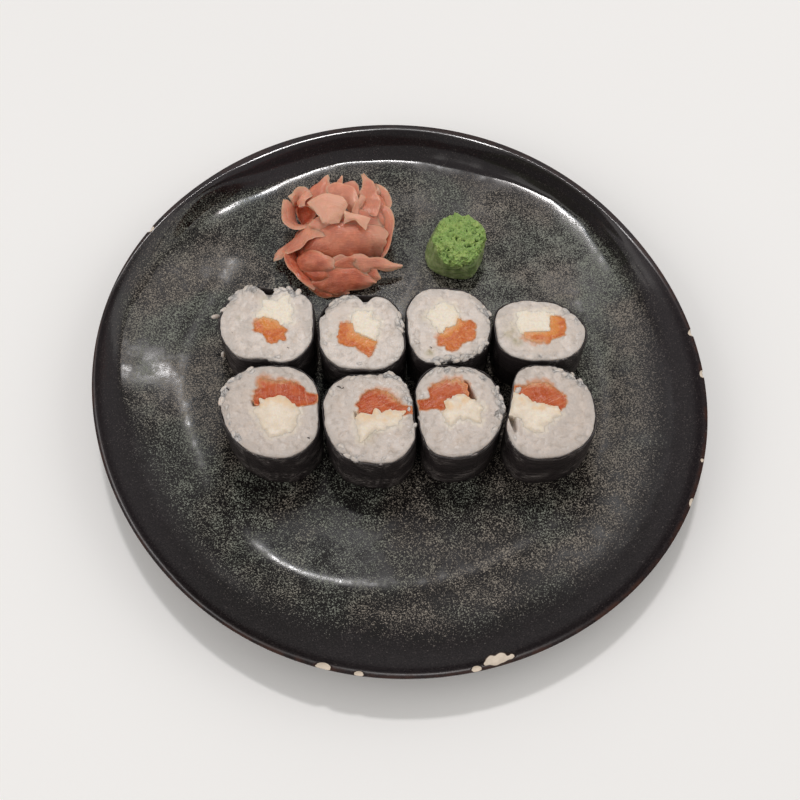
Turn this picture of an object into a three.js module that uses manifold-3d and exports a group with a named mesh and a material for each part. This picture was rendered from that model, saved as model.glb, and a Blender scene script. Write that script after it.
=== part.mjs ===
// A plate of salmon maki: eight cut pieces in two rows, a heap of pickled ginger and a lump of
// wasabi, on a hand-made stoneware plate. Millimetres, +Z up. The plate's foot stands on z = 0,
// and the Z axis runs through the middle of its outline.

import * as THREE from 'three';
import { mergeVertices } from 'three/addons/utils/BufferGeometryUtils.js';
import Module from 'manifold-3d';

const wasm = await Module();
wasm.setup();

const { degToRad } = THREE.MathUtils;

// Between two pieces that touch on the real plate.
const gap = 0.3;
// Between a filling and what it lies in, along curved outlines.
const fillingGap = 0.4;

// Sizes: the plate

const floorHeight = 7.5;
const lipHeight = 20.6;
const creaseShare = 0.715;

const plate = {
  meanRadius: 133,
  segments: 64,
  // The rim isn't round: how far it swells, how many times in a turn, and the heading of a swell.
  swells: [
    { by: 3.4, times: 2, heading: -57.5 },
    { by: 0.4, times: 3, heading: -22.5 },
    { by: 0.5, times: 4, heading: -20 },
  ],
  // The lip rises and falls as the rim goes round.
  lipWave: { by: 0.5, times: 3, heading: 40 },
  // Share of the rim's radius, and height: floor, crease, slope, wall, lip, outside, foot ring.
  profile: [
    [0, floorHeight],
    [creaseShare, floorHeight],
    [0.735, 8.1],
    [0.8, 9.5],
    [0.87, 11.5],
    [0.92, 13.8],
    [0.955, 16.6],
    [0.98, 19.4],
    [0.992, lipHeight],
    [1, 19.9],
    [0.987, 16],
    [0.95, 11.2],
    [0.885, 7],
    [0.78, 4],
    [0.62, 2.6],
    [0.6, 0],
    [0.56, 0],
    [0.54, 2.2],
    [0, 2.2],
  ],
  // Chips in the lip: heading, length along the rim and bite into it. Each is a scoop whose middle
  // lies over the lip by a share of the bite.
  chipLift: 0.15,
  chipSegments: [6, 4],
  chips: [
    { heading: -73, length: 13, bite: 4.5 },
    { heading: -77.2, length: 4.5, bite: 2.2 },
    { heading: -96, length: 4, bite: 1.6 },
    { heading: -102, length: 6, bite: 2.2 },
    { heading: -28, length: 5, bite: 2 },
    { heading: -2, length: 4, bite: 1.8 },
    { heading: 7, length: 3.5, bite: 1.8 },
    { heading: 148, length: 4, bite: 1.8 },
  ],
};

// Sizes: the maki

const rollHeight = 25;
const rollSegments = 30;
const nominalRadius = 20;
const noriThickness = 0.45;
const noriBulge = 0.15;
// The nori's free end lies over its start: by how much it stands out, and over how many degrees.
const noriLap = 0.3;
const noriLapWidth = 50;
// The nori's edge stays this far below the rice.
const noriDrop = 0.6;
// The rice's bumps, its ragged edge, how deep its top reaches and where its edge starts.
const riceBump = 0.4;
const riceRag = 0.3;
const riceTopDepth = 0.5;
const riceEdgeShare = 0.95;
const riceSeed = 11;
// How far a cutting solid runs past the one that it cuts.
const cutClear = 5;
// How tightly an outline turns at its points, and how many sides it gets.
const outlineTension = 0.35;
const outlineSides = 20;

// Each piece: its middle on the plate, the radius of its rice at every thirtieth degree, and the
// closed outlines of its two fillings round that middle. Salmon may run out to the nori. Lap is
// the heading of the nori's free end. Proud is how far the salmon and the cream stand out.
const rolls = [
  {
    middle: [-56, 13.2],
    rice: [19.7, 21, 19.5, 17, 20.5, 20, 20, 19.5, 19.5, 17.5, 21.5, 21.5],
    salmon: [
      [-6, -0.5], [-4, 2], [2, 2], [5.5, -0.5], [8.5, -3.5], [8, -8.5], [1.5, -10.5], [-1, -6.5], [-5.5, -4],
    ],
    cream: [[-4.5, 3], [-3.5, 8], [-1, 11.5], [4, 11.5], [8.5, 13.5], [11, 5], [10.5, -1], [5, -2], [0, -2]],
    lap: 130,
    proud: [0.2, 0.4],
  },
  {
    middle: [-15, 8.6],
    rice: [17.2, 18.6, 19.5, 18, 20, 20, 18.2, 19, 19, 17.8, 19.8, 20],
    salmon: [
      [-9.5, 3.5], [-6.5, 4.5], [-4, 3.5], [-2.5, -1], [6, -5],
      [6, -8], [3, -12.5], [-1, -9], [-8, -6.5], [-10.5, -5],
    ],
    cream: [[-5, 6], [-2.5, 11], [3.5, 11], [5, 7], [8.5, 5], [7, 0], [5, -7], [-5, -3]],
    lap: 70,
    proud: [0.1, 0.6],
  },
  {
    middle: [21.5, 12.2],
    rice: [18, 18.5, 18.5, 18, 20, 19.4, 17, 18.5, 20.3, 17.6, 18.4, 18.6],
    salmon: [
      [-5.5, -8], [-4, -5.5], [3.5, 0.5], [4.5, 2.5], [12, 0.5], [11, -6], [8, -8.5], [1.5, -13.5], [-4, -11],
    ],
    cream: [[-9, 3.5], [-8, 7.5], [-1, 11], [3.5, 7.5], [5, 0], [0, -6], [-4, -5], [-6, -1]],
    lap: 60,
    proud: [0.3, 0.5],
  },
  {
    middle: [60.6, 9.3],
    rice: [19.5, 17, 15.5, 14.5, 17, 20, 18.7, 18.6, 16, 14.4, 16, 18.5],
    salmon: [
      [-7, -1], [3.5, -0.5], [4.5, 1], [5, 7], [10.5, 6],
      [11.5, 1], [10, -2.5], [3, -6.5], [-4.5, -5.5], [-7, -3],
    ],
    cream: [[-10, 8.5], [-5, 9.5], [7, 8.5], [6, -2], [-7, -2], [-9.5, 4]],
    lap: 350,
    proud: [0.2, 0.3],
  },
  {
    middle: [-52, -28.9],
    rice: [19.4, 21.3, 22, 20.8, 22, 22.5, 20, 18.5, 19, 20.5, 22.5, 22],
    salmon: [
      [-7.5, 5.5], [-5, 15.5], [0, 14], [10.5, 13.5], [15, 8.5],
      [22, 7], [22, 5], [11, 1.5], [5.5, 3.5], [-6, 2.5],
    ],
    cream: [[-6, 0], [-4, 5], [8, 5], [12, -2], [11.5, -6], [8, -9], [0.5, -11.5], [-5.5, -3]],
    lap: 190,
    proud: [-0.4, 0.4],
  },
  {
    middle: [-11.5, -31.9],
    rice: [18, 19.4, 22.3, 19.6, 21.4, 20.7, 18.3, 18.5, 19.5, 20, 22, 21],
    salmon: [
      [-5.5, 3.5], [-4, 9.5], [-1, 12.5], [4, 13], [12, 8.5],
      [14, 5.5], [21, 5], [21, 2.5], [9.5, 0], [-4.5, -0.5],
    ],
    cream: [[-5.5, -2], [-3, 2], [13, 3], [14, 0.5], [12, -3.5], [2, -6.5], [-2.5, -10.5], [-5, -5]],
    lap: 235,
    proud: [-0.3, 0.2],
  },
  {
    middle: [25.5, -28.2],
    rice: [17.8, 18.5, 20, 20, 21.8, 20.2, 16.8, 18.3, 21.8, 21, 19.5, 17.8],
    salmon: [
      [-21, 3.5], [-13, 5], [-12.5, 10], [-7, 13], [-1, 14.5], [2, 13], [3.5, 3.5], [-6.5, -0.5], [-21, 0],
    ],
    cream: [
      [-6.5, -0.5], [-6, 4], [2, 7], [9, 2.5], [9.5, -3.5], [8.5, -7], [1.5, -4], [-3.5, -7.5], [-6.5, -4],
    ],
    hollow: { outline: [[2, 13], [4, 12.5], [7.5, 4.5], [3, 3]], depth: 6 },
    lap: 240,
    proud: [-0.2, 0.6],
  },
  {
    middle: [61.8, -28.2],
    rice: [19, 19.5, 19.5, 20.5, 21, 16, 15.6, 19.8, 23, 21.5, 20.5, 20],
    salmon: [
      [-19, 7], [-19, 10], [-12, 11], [-6, 12], [0, 12.5], [4.5, 9.5],
      [8.5, 5.5], [8, 2], [5.5, -1], [-4, 0], [-11, 4],
    ],
    cream: [
      [-18, -1.5], [-18, 8], [-10, 7], [-4, 3], [4.5, 1],
      [4.5, -3.5], [0, -7], [-5.5, -11], [-10, -9], [-12, -4.5],
    ],
    hollow: { outline: [[-17, -2], [-13.5, -2.5], [-13, -9.5], [-14.8, -10]], depth: 5 },
    lap: 300,
    proud: [-0.2, 0.3],
  },
];

// Sizes: the ginger

const ginger = {
  middle: [-29, 69],
  thickness: 1.2,
  core: { radii: [21, 20, 15], segments: [10, 6] },
  sliceSegments: [5, 3, 1],
  // The wave along a slice's edges: its height, how much that varies, and its turns in radians.
  ripple: { by: 0.8, vary: 0.3, turns: 7 },
  // Each slice: three points of its run (from the heap's middle, height above the plate's floor),
  // its width at the start, middle and end, the lean of its face at both ends in degrees, and how
  // far it arches across its width.
  slices: [
    { run: [[-6, 2, 16], [-16, -3, 13], [-28, -8, 4]], width: [14, 9, 6], lean: [10, 25], arch: 0.5 },
    { run: [[-22, 15, 14], [-18, 7, 7], [-8, 10, 12]], width: [7, 14, 8], lean: [-50, -60], arch: 1 },
    { run: [[-23, 22, 12], [-18, 19, 9], [-11, 16, 12]], width: [7, 11, 8], lean: [20, 30], arch: -2 },
    { run: [[-14, 12, 13], [-10, 21, 16], [-4, 29, 17]], width: [17, 13, 2], lean: [-15, -35], arch: 1.5 },
    { run: [[0, 20, 15], [2, 25, 16], [4, 30, 18]], width: [5, 4, 1.5], lean: [0, -30], arch: 0 },
    { run: [[8, 2, 17], [9, 14, 18], [14, 27, 18]], width: [20, 19, 2], lean: [10, -15], arch: -2 },
    { run: [[17, 19, 12], [24, 15, 13], [18, 10, 8]], width: [7, 10, 8], lean: [60, 80], arch: 3 },
    { run: [[-8, 8, 22], [3, 6, 24], [15, 1, 21]], width: [15, 13, 6], lean: [15, 25], arch: 1 },
    { run: [[-2, 15, 20], [4, 14, 22], [9, 9, 20]], width: [7, 9, 5], lean: [20, 30], arch: 1 },
    { run: [[-16, -7, 8], [2, -6, 18], [24, -3, 13]], width: [15, 26, 17], lean: [22, 28], arch: 7 },
    { run: [[20, 9, 14], [24, 3, 10], [20, -8, 4]], width: [11, 12, 6], lean: [35, 55], arch: 1 },
    { run: [[0, -17, 9], [14, -15, 9], [31, -13, 6]], width: [8, 8, 2.5], lean: [55, 30], arch: 1 },
    { run: [[-15, -15, 9], [-7, -19, 9], [3, -18, 9]], width: [8, 11, 6], lean: [40, 30], arch: 2 },
    { run: [[-9, -23, 3], [3, -22, 7], [20, -22, 4]], width: [6, 14, 2], lean: [35, 25], arch: 1.5 },
    { run: [[-19, -6, 8], [-15, -13, 5], [-8, -20, 2]], width: [7, 9, 6], lean: [-45, -30], arch: 1 },
  ],
};

// Sizes: the wasabi

const wasabi = {
  middle: [28, 64],
  segments: 24,
  radii: [12.6, 12.4, 13.6, 14.2, 13.2, 13.4, 13, 13.6],
  // How far the crumbs of the top stand out, and how far below its last ring they start.
  crumb: 0.55,
  crumbMargin: 0.1,
  crumbRings: 5,
  seed: 7,
  // The lump's top sits back from its foot, and falls towards the front.
  back: [1.2, 1],
  fall: 0.09,
  // Share of the radius and height above the floor: crumbly top, then the smoother side.
  profile: [
    [0, 18],
    [0.28, 18.1],
    [0.5, 17.8],
    [0.7, 17.4],
    [0.86, 16.6],
    [0.95, 14.8],
    [0.97, 11],
    [1.02, 6.5],
    [1.06, 2.6],
    [1.02, gap],
    [0, gap],
  ],
};

// Helpers

// A repeatable random draw from -1 to 1: each whole number comes from the one before it.
function randomDraw(seed) {
  const multiplier = 1664525;
  const increment = 1013904223;
  const range = 2 ** 32;
  let state = seed;
  return () => {
    state = (Math.imul(state, multiplier) + increment) >>> 0;
    return (state / range) * 2 - 1;
  };
}

// The value at an angle of a closed row of evenly spread values, by a smooth curve through them.
function aroundTurn(values, angle) {
  const count = values.length;
  const place = ((((angle / (2 * Math.PI)) % 1) + 1) % 1) * count;
  const from = Math.floor(place);
  const t = place - from;
  const [a, b, c, d] = [-1, 0, 1, 2].map((step) => values[(from + step + count) % count]);
  const pull = (c - a) * t;
  const bend = (2 * a - 5 * b + 4 * c - d) * t * t;
  const twist = (3 * b - a - 3 * c + d) * t * t * t;
  return b + (pull + bend + twist) / 2;
}

// A geometry with only shared positions left, ready for shaping and for joining.
function weld(geometry) {
  const sameWithin = 1e-4;
  geometry.deleteAttribute('normal');
  geometry.deleteAttribute('uv');
  return mergeVertices(geometry, sameWithin);
}

// Moves every shared vertex by a rule that changes the point it is given.
function reshape(geometry, rule) {
  const place = geometry.attributes.position;
  const point = new THREE.Vector3();
  for (let i = 0; i < place.count; i += 1) {
    point.fromBufferAttribute(place, i);
    rule(point);
    place.setXYZ(i, point.x, point.y, point.z);
  }
  return geometry;
}

// A turned solid about +Z from [radius, height] pairs that run from the top inwards-out and down.
function turned(profile, segments) {
  const points = profile.map(([radius, height]) => new THREE.Vector2(radius, height));
  const geometry = new THREE.LatheGeometry(points.reverse(), segments);
  geometry.rotateX(Math.PI / 2);
  return weld(geometry);
}

// A smooth closed outline through the given points, grown outwards by some distance.
function smoothOutline(points, grow = 0) {
  const knots = points.map(([x, y]) => new THREE.Vector3(x, y, 0));
  const curve = new THREE.CatmullRomCurve3(knots, true, 'catmullrom', outlineTension);
  const steps = [...Array(outlineSides).keys()].map((i) => i / outlineSides);
  const ring = steps.map((t) => {
    const at = curve.getPointAt(t);
    const way = curve.getTangentAt(t);
    return new THREE.Vector2(at.x + way.y * grow, at.y - way.x * grow);
  });
  const area = THREE.ShapeUtils.area(ring);
  if (area < 0) return smoothOutline([...points].reverse(), grow);
  return ring;
}

// An upright prism on an outline.
function prism(outline, bottom, top) {
  const geometry = new THREE.ExtrudeGeometry(new THREE.Shape(outline), {
    depth: top - bottom,
    bevelEnabled: false,
  });
  geometry.translate(0, 0, bottom);
  return weld(geometry);
}

function toSolid(geometry) {
  const mesh = new wasm.Mesh({
    numProp: 3,
    vertProperties: geometry.attributes.position.array,
    triVerts: new Uint32Array(geometry.index.array),
  });
  return new wasm.Manifold(mesh);
}

// The largest body of a solid, with any sealed hollow filled and any loose scrap dropped.
function soleBody(solid) {
  return solid.decompose().reduce((best, body) => (body.volume() > best.volume() ? body : best));
}

function toGeometry(solid) {
  const mesh = solid.getMesh();
  const geometry = new THREE.BufferGeometry();
  geometry.setAttribute('position', new THREE.BufferAttribute(mesh.vertProperties, 3));
  geometry.setIndex(new THREE.BufferAttribute(mesh.triVerts, 1));
  geometry.computeVertexNormals();
  return geometry;
}

// The plate

// The rim's radius at an angle.
function rimRadius(angle) {
  const swell = plate.swells.reduce(
    (sum, { by, times, heading }) => sum + by * Math.cos(times * (angle - degToRad(heading))),
    0,
  );
  return plate.meanRadius + swell;
}

// The height that the lip's wave adds at an angle and a share of the rim's radius.
function lipRise(angle, share) {
  const { by, times, heading } = plate.lipWave;
  const up = THREE.MathUtils.smoothstep(share, creaseShare, 1);
  return by * up * Math.cos(times * (angle - degToRad(heading)));
}

function chipSolid({ heading, length, bite }) {
  const angle = degToRad(heading);
  const radius = rimRadius(angle);
  const height = lipHeight + lipRise(angle, 1) + bite * plate.chipLift;
  const geometry = new THREE.SphereGeometry(1, ...plate.chipSegments);
  geometry.scale(bite, length / 2, bite);
  geometry.rotateZ(angle);
  geometry.translate(radius * Math.cos(angle), radius * Math.sin(angle), height);
  return toSolid(weld(geometry));
}

// The plate with its chips, its outline's box centred on the Z axis.
function plateSolid() {
  const geometry = turned(plate.profile, plate.segments);
  reshape(geometry, (point) => {
    const share = Math.hypot(point.x, point.y);
    const angle = Math.atan2(point.y, point.x);
    point.x *= rimRadius(angle);
    point.y *= rimRadius(angle);
    point.z += lipRise(angle, share);
  });
  geometry.computeBoundingBox();
  const middle = geometry.boundingBox.getCenter(new THREE.Vector3());
  const whole = toSolid(geometry);
  const chipped = plate.chips.reduce((solid, chip) => solid.subtract(chipSolid(chip)), whole);
  return chipped.translate([-middle.x, -middle.y, 0]);
}

// The maki

const riceProfile = [
  [0, rollHeight],
  [0.56, rollHeight],
  [0.73, rollHeight],
  [0.88, rollHeight],
  [0.98, rollHeight - 0.3],
  [1, rollHeight - 1.2],
  [1, 0],
  [0, 0],
];

// The rice before its fillings are taken out: grain-sized bumps on top and a ragged edge.
function riceBlank(roll, seed) {
  const draw = randomDraw(seed);
  const geometry = turned(riceProfile, rollSegments);
  reshape(geometry, (point) => {
    const share = Math.hypot(point.x, point.y);
    const radius = aroundTurn(roll.rice, Math.atan2(point.y, point.x));
    const isTop = point.z > rollHeight - riceTopDepth;
    const isEdge = isTop && share > riceEdgeShare;
    const stretch = radius + (isEdge ? draw() * riceRag - riceRag : 0);
    point.x *= stretch;
    point.y *= stretch;
    point.z += isTop ? draw() * riceBump : 0;
  });
  return toSolid(geometry);
}

// The space inside the nori, taller than the piece.
function rollBore(roll) {
  const turns = [...Array(rollSegments).keys()].map((i) => (i / rollSegments) * 2 * Math.PI);
  const outline = turns.map((angle) => {
    const radius = aroundTurn(roll.rice, angle);
    return new THREE.Vector2(radius * Math.cos(angle), radius * Math.sin(angle));
  });
  return toSolid(prism(outline, -cutClear, rollHeight + cutClear));
}

// A filling from the plate up to a little over or under the rice.
function fillingPrism(outline, proud) {
  return toSolid(prism(smoothOutline(outline), 0, rollHeight + proud));
}

// The room that a filling takes out of what it lies in, open at both ends.
function fillingRoom(outline) {
  const ring = smoothOutline(outline, fillingGap);
  return toSolid(prism(ring, -cutClear, rollHeight + cutClear));
}

function noriSolid(roll) {
  const inner = nominalRadius + gap;
  const outer = inner + noriThickness;
  const top = rollHeight - noriDrop;
  const sheet = [
    [inner, 0],
    [inner, top],
    [outer, top],
    [outer + noriBulge, top / 2],
    [outer, 0],
    [inner, 0],
  ];
  const geometry = turned(sheet, rollSegments);
  const lap = degToRad(roll.lap);
  const lapWidth = degToRad(noriLapWidth);
  reshape(geometry, (point) => {
    const angle = Math.atan2(point.y, point.x);
    const offset = Math.hypot(point.x, point.y) - nominalRadius;
    const past = (((angle - lap) % (2 * Math.PI)) + 2 * Math.PI) % (2 * Math.PI);
    const isLapped = past < lapWidth && offset > gap + noriThickness / 2;
    const radius = aroundTurn(roll.rice, angle) + offset + (isLapped ? noriLap : 0);
    point.x = radius * Math.cos(angle);
    point.y = radius * Math.sin(angle);
  });
  return toSolid(geometry);
}

// The four layers of one piece, standing on the plate's floor.
function makiSolids(roll, seed) {
  const bore = rollBore(roll);
  const [salmonProud, creamProud] = roll.proud;
  const salmon = fillingPrism(roll.salmon, salmonProud).intersect(bore);
  const salmonRoom = fillingRoom(roll.salmon);
  const cream = fillingPrism(roll.cream, creamProud).intersect(bore).subtract(salmonRoom);
  let rice = riceBlank(roll, seed).subtract(salmonRoom).subtract(fillingRoom(roll.cream));
  if (roll.hollow) {
    const { outline, depth } = roll.hollow;
    const room = prism(smoothOutline(outline), rollHeight - depth, rollHeight + cutClear);
    rice = rice.subtract(toSolid(room));
  }
  return { nori: noriSolid(roll), rice, salmon, cream };
}

// The ginger

// A thin slice bent along its run: its face leans from one end to the other, arches across and
// ripples a little at its edges.
function gingerSlice({ run, width, lean, arch }, seed) {
  const draw = randomDraw(seed);
  const ripple = ginger.ripple.by + ginger.ripple.vary * draw();
  const phase = draw() * Math.PI;
  const curve = new THREE.CatmullRomCurve3(run.map((p) => new THREE.Vector3(...p)));
  const widths = new THREE.QuadraticBezierCurve(
    new THREE.Vector2(0, width[0]),
    new THREE.Vector2(0.5, 2 * width[1] - (width[0] + width[2]) / 2),
    new THREE.Vector2(1, width[2]),
  );
  const up = new THREE.Vector3(0, 0, 1);
  const geometry = weld(new THREE.BoxGeometry(1, 1, 1, ...ginger.sliceSegments));
  reshape(geometry, (point) => {
    const along = point.x + 0.5;
    const across = point.y;
    const way = curve.getTangent(along);
    const tilt = degToRad(THREE.MathUtils.lerp(lean[0], lean[1], along));
    const side = new THREE.Vector3().crossVectors(up, way).normalize().applyAxisAngle(way, tilt);
    const face = new THREE.Vector3().crossVectors(way, side);
    // 0 on the middle line, 1 at both edges.
    const outward = 2 * Math.abs(across);
    const wave = ripple * Math.sin(along * ginger.ripple.turns + phase) * across * 2;
    const lift = point.z * ginger.thickness - arch * outward ** 2 + wave;
    point.copy(curve.getPoint(along));
    point.addScaledVector(side, across * widths.getPoint(along).y);
    point.addScaledVector(face, lift);
  });
  return toSolid(geometry);
}

// The heap: a core with every slice fused on, cut level where it lies on the plate.
function gingerSolid() {
  const { radii, segments } = ginger.core;
  const core = new THREE.SphereGeometry(1, ...segments);
  core.rotateX(Math.PI / 2);
  core.scale(...radii);
  const heap = ginger.slices.reduce(
    (solid, slice, i) => solid.add(gingerSlice(slice, i + 1)),
    toSolid(weld(core)),
  );
  const reach = 4 * Math.max(...radii);
  const below = new THREE.BoxGeometry(reach, reach, reach);
  below.translate(0, 0, gap - reach / 2);
  return soleBody(heap.subtract(toSolid(weld(below))));
}

// The wasabi

function wasabiSolid() {
  const draw = randomDraw(wasabi.seed);
  const geometry = turned(wasabi.profile, wasabi.segments);
  const crumbEdge = wasabi.profile[wasabi.crumbRings][1] - wasabi.crumbMargin;
  reshape(geometry, (point) => {
    const radius = aroundTurn(wasabi.radii, Math.atan2(point.y, point.x));
    const isCrumbly = point.z > crumbEdge;
    const height = point.z / wasabi.profile[0][1];
    const stretch = radius + (isCrumbly ? draw() * wasabi.crumb : 0);
    point.x = point.x * stretch + wasabi.back[0] * height;
    point.y = point.y * stretch + wasabi.back[1] * height;
    point.z += point.y * wasabi.fall * height + (isCrumbly ? draw() * wasabi.crumb : 0);
  });
  return toSolid(geometry);
}

// The object

const finishes = {
  plate: { color: 0x33302d, roughness: 0.3, metalness: 0 },
  nori: { color: 0x15170f, roughness: 0.35, metalness: 0 },
  rice: { color: 0xe6e0d6, roughness: 0.5, metalness: 0 },
  salmon: { color: 0xe0763f, roughness: 0.4, metalness: 0 },
  cream: { color: 0xf5ecdc, roughness: 0.55, metalness: 0 },
  ginger: { color: 0xe39a80, roughness: 0.35, metalness: 0 },
  wasabi: { color: 0x86a352, roughness: 0.8, metalness: 0 },
};

function named(name, finish, solid) {
  const mesh = new THREE.Mesh(toGeometry(solid), new THREE.MeshStandardMaterial(finishes[finish]));
  mesh.name = name;
  return mesh;
}

const platter = new THREE.Group();
platter.name = 'makiPlatter';
platter.add(named('plate', 'plate', plateSolid()));

rolls.forEach((roll, i) => {
  const piece = new THREE.Group();
  const layers = makiSolids(roll, riceSeed + i);
  for (const [layer, solid] of Object.entries(layers)) {
    piece.add(named(`${layer}_${i + 1}`, layer, solid));
  }
  piece.position.set(...roll.middle, floorHeight + gap);
  platter.add(piece);
});

const gingerMesh = named('ginger', 'ginger', gingerSolid());
gingerMesh.position.set(...ginger.middle, floorHeight);
platter.add(gingerMesh);

const wasabiMesh = named('wasabi', 'wasabi', wasabiSolid());
wasabiMesh.position.set(...wasabi.middle, floorHeight);
platter.add(wasabiMesh);

export default platter;
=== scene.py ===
import bpy
import numpy as np
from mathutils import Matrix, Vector


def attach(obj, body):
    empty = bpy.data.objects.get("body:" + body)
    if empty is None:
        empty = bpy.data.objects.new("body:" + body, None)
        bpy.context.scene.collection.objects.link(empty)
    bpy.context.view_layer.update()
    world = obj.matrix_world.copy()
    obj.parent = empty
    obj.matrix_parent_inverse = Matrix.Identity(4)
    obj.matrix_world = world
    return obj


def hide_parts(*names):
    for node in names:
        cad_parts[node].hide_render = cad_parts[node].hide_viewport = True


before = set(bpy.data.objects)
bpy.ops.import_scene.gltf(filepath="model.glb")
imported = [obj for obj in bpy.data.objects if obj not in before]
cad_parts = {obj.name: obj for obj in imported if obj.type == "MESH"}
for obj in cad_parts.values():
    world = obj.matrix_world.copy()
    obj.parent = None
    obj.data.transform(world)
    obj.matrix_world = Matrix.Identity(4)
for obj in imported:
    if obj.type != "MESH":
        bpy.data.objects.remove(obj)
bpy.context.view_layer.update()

print("frame loaded:", len(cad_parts), "nodes")

mm = 0.001
floorHeight = 7.5    # the plate's floor over its foot
gap = 0.3            # between pieces that touch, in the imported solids
fullTurn = 2 * np.pi


# 0 below low, 1 above high, 3t^2 - 2t^3 between them
def ease(low, high, value):
    t = np.clip((value - low) / (high - low), 0, 1)
    return t * t * (3 - 2 * t)


# a bell: e to the minus square of the distance over the width
def bell(distance, width):
    return np.exp(-(distance / width) ** 2)


# places by their distance from the middle and their heading, with a height if one is given
def polar(distance, heading, *height):
    return np.stack(np.broadcast_arrays(distance * np.cos(heading), distance * np.sin(heading), *height), -1)


# degrees from a heading to each angle, -180 to 180
def degreesFrom(heading, angle):
    return (np.degrees(angle) - heading + 180) % 360 - 180


# closed Catmull-Rom curve through values that are spread evenly round a turn
def aroundTurn(values, angle):
    values = np.asarray(values, float)
    place = (angle / fullTurn % 1) * len(values)
    start = np.floor(place).astype(int)
    t = place - start
    a, b, c, d = (values[(start + step) % len(values)] for step in (-1, 0, 1, 2))
    bend = (2 * a - 5 * b + 4 * c - d) * t**2 + (3 * b - a - 3 * c + d) * t**3
    return b + ((c - a) * t + bend) / 2


# closed Hermite curve through the points, its slope at each a share of the chord between its
# neighbours, cut again into steps of even length
def closedCurve(points, count=144, pull=0.35):
    points = np.asarray(points, float)
    t = np.linspace(0, 1, 16, endpoint=False)[None, :, None]
    a, b, c, d = (np.roll(points, -step, axis=0)[:, None] for step in (-1, 0, 1, 2))
    curve = (2 * t**3 - 3 * t**2 + 1) * b + (3 * t**2 - 2 * t**3) * c
    curve = curve + pull * ((t**3 - 2 * t**2 + t) * (c - a) + (t**3 - t**2) * (d - b))
    curve = curve.reshape(-1, 2)
    if np.cross(curve, np.roll(curve, -1, axis=0)).sum() < 0:
        curve = curve[::-1]
    loop = np.vstack([curve, curve[:1]])
    travel = np.r_[0, np.cumsum(np.linalg.norm(np.diff(loop, axis=0), axis=1))]
    even = np.linspace(0, travel[-1], count, endpoint=False)
    return np.stack([np.interp(even, travel, loop[:, k]) for k in (0, 1)], 1)


# distance from each place to a closed ring, positive inside: nearest point of each side, and the
# sides crossed by a ray to the right counted odd or even
def depthInside(flat, ring):
    places = flat.reshape(-1, 2)
    start, end = ring, np.roll(ring, -1, axis=0)
    way = end - start
    offset = places[:, None] - start[None]
    t = np.clip((offset * way).sum(2) / (way**2).sum(1), 0, 1)
    nearest = np.linalg.norm(offset - t[..., None] * way, axis=2).min(1)
    above = start[None, :, 1] > places[:, 1:2]
    spans = above != (end[None, :, 1] > places[:, 1:2])
    rise = np.where(way[:, 1] == 0, 1, way[:, 1])
    reach = start[:, 0] + (places[:, 1:2] - start[:, 1]) * way[:, 0] / rise
    inside = (spans & (places[:, 0:1] < reach)).sum(1) % 2 == 1
    return np.where(inside, nearest, -nearest).reshape(flat.shape[:-1])


# cloudy values from -1 to 1: random numbers on a lattice, blended by 3t^2 - 2t^3 along x, y and z;
# each further octave is half the size and half as strong; flat points lie at height zero
def cloud(points, size, seed, octaves=1):
    table = np.random.default_rng(seed).uniform(-1, 1, (32, 32, 32))
    points = np.asarray(points, float)
    if points.shape[-1] == 2:
        points = np.concatenate([points, 0 * points[..., :1]], -1)
    total = 0
    for octave in range(octaves):
        place = points / (size * 0.5**octave) + 11.7 * octave
        cell = np.floor(place).astype(int)
        t = place - cell
        t = t * t * (3 - 2 * t)
        for corner in np.ndindex(2, 2, 2):
            weight = np.prod(np.where(corner, t, 1 - t), axis=-1)
            total = total + 0.5**octave * weight * table[tuple(((cell + corner) % 32).T)].T
    return total


# quadratic through three evenly spaced values: v0(1-t)(1-2t) + 4 v1 t(1-t) + v2 t(2t-1)
def throughThree(values, t):
    a, b, c = (np.asarray(v, float) for v in values)
    t = t[..., None] if a.ndim else t
    return a * (1 - t) * (1 - 2 * t) + 4 * b * t * (1 - t) + c * t * (2 * t - 1)


# corner cutting: each side of the line gives its quarter and three quarter points
def cutCorners(line, passes=2):
    for _ in range(passes):
        near = 0.75 * line[:-1] + 0.25 * line[1:]
        far = 0.25 * line[:-1] + 0.75 * line[1:]
        line = np.vstack([line[:1], np.stack([near, far], 1).reshape(-1, line.shape[1]), line[-1:]])
    return line


# headings of a ring's columns
def evenHeadings(count):
    return np.linspace(0, fullTurn, count, endpoint=False)[None]


# a skin over rows of closed rings, with a value at each point for every pattern named; the first and
# the last row close in a pole at their middle
def skin(grid, **values):
    rows, cols = grid.shape[:2]

    def packed(field):
        body = field[1:-1].reshape(-1, *field.shape[2:])
        return np.concatenate([field[:1].mean(1), body, field[-1:].mean(1)])

    j = np.arange(cols)
    k = np.roll(j, -1)
    first = 1 + np.arange(rows - 3)[:, None] * cols
    quads = np.stack([first + j, first + cols + j, first + cols + k, first + k], -1).reshape(-1, 4)
    last = 1 + (rows - 2) * cols
    top = np.stack([0 * j, 1 + j, 1 + k], -1)
    bottom = np.stack([0 * j + last, last - cols + k, last - cols + j], -1)
    spread = {key: packed(np.broadcast_to(value, (rows, cols))) for key, value in values.items()}
    return {"points": packed(grid), "faces": [top, quads, bottom], **spread}


# a skin whose rows close on each other as well, like a tyre
def tyre(grid, **values):
    rows, cols = grid.shape[:2]
    i = np.arange(rows)[:, None] * cols
    below = np.roll(i, -1, axis=0)
    j = np.arange(cols)
    k = np.roll(j, -1)
    quads = np.stack([i + j, below + j, below + k, i + k], -1).reshape(-1, 4)
    spread = {key: np.broadcast_to(value, (rows, cols)).ravel() for key, value in values.items()}
    return {"points": grid.reshape(-1, 3), "faces": [quads], **spread}


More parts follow.
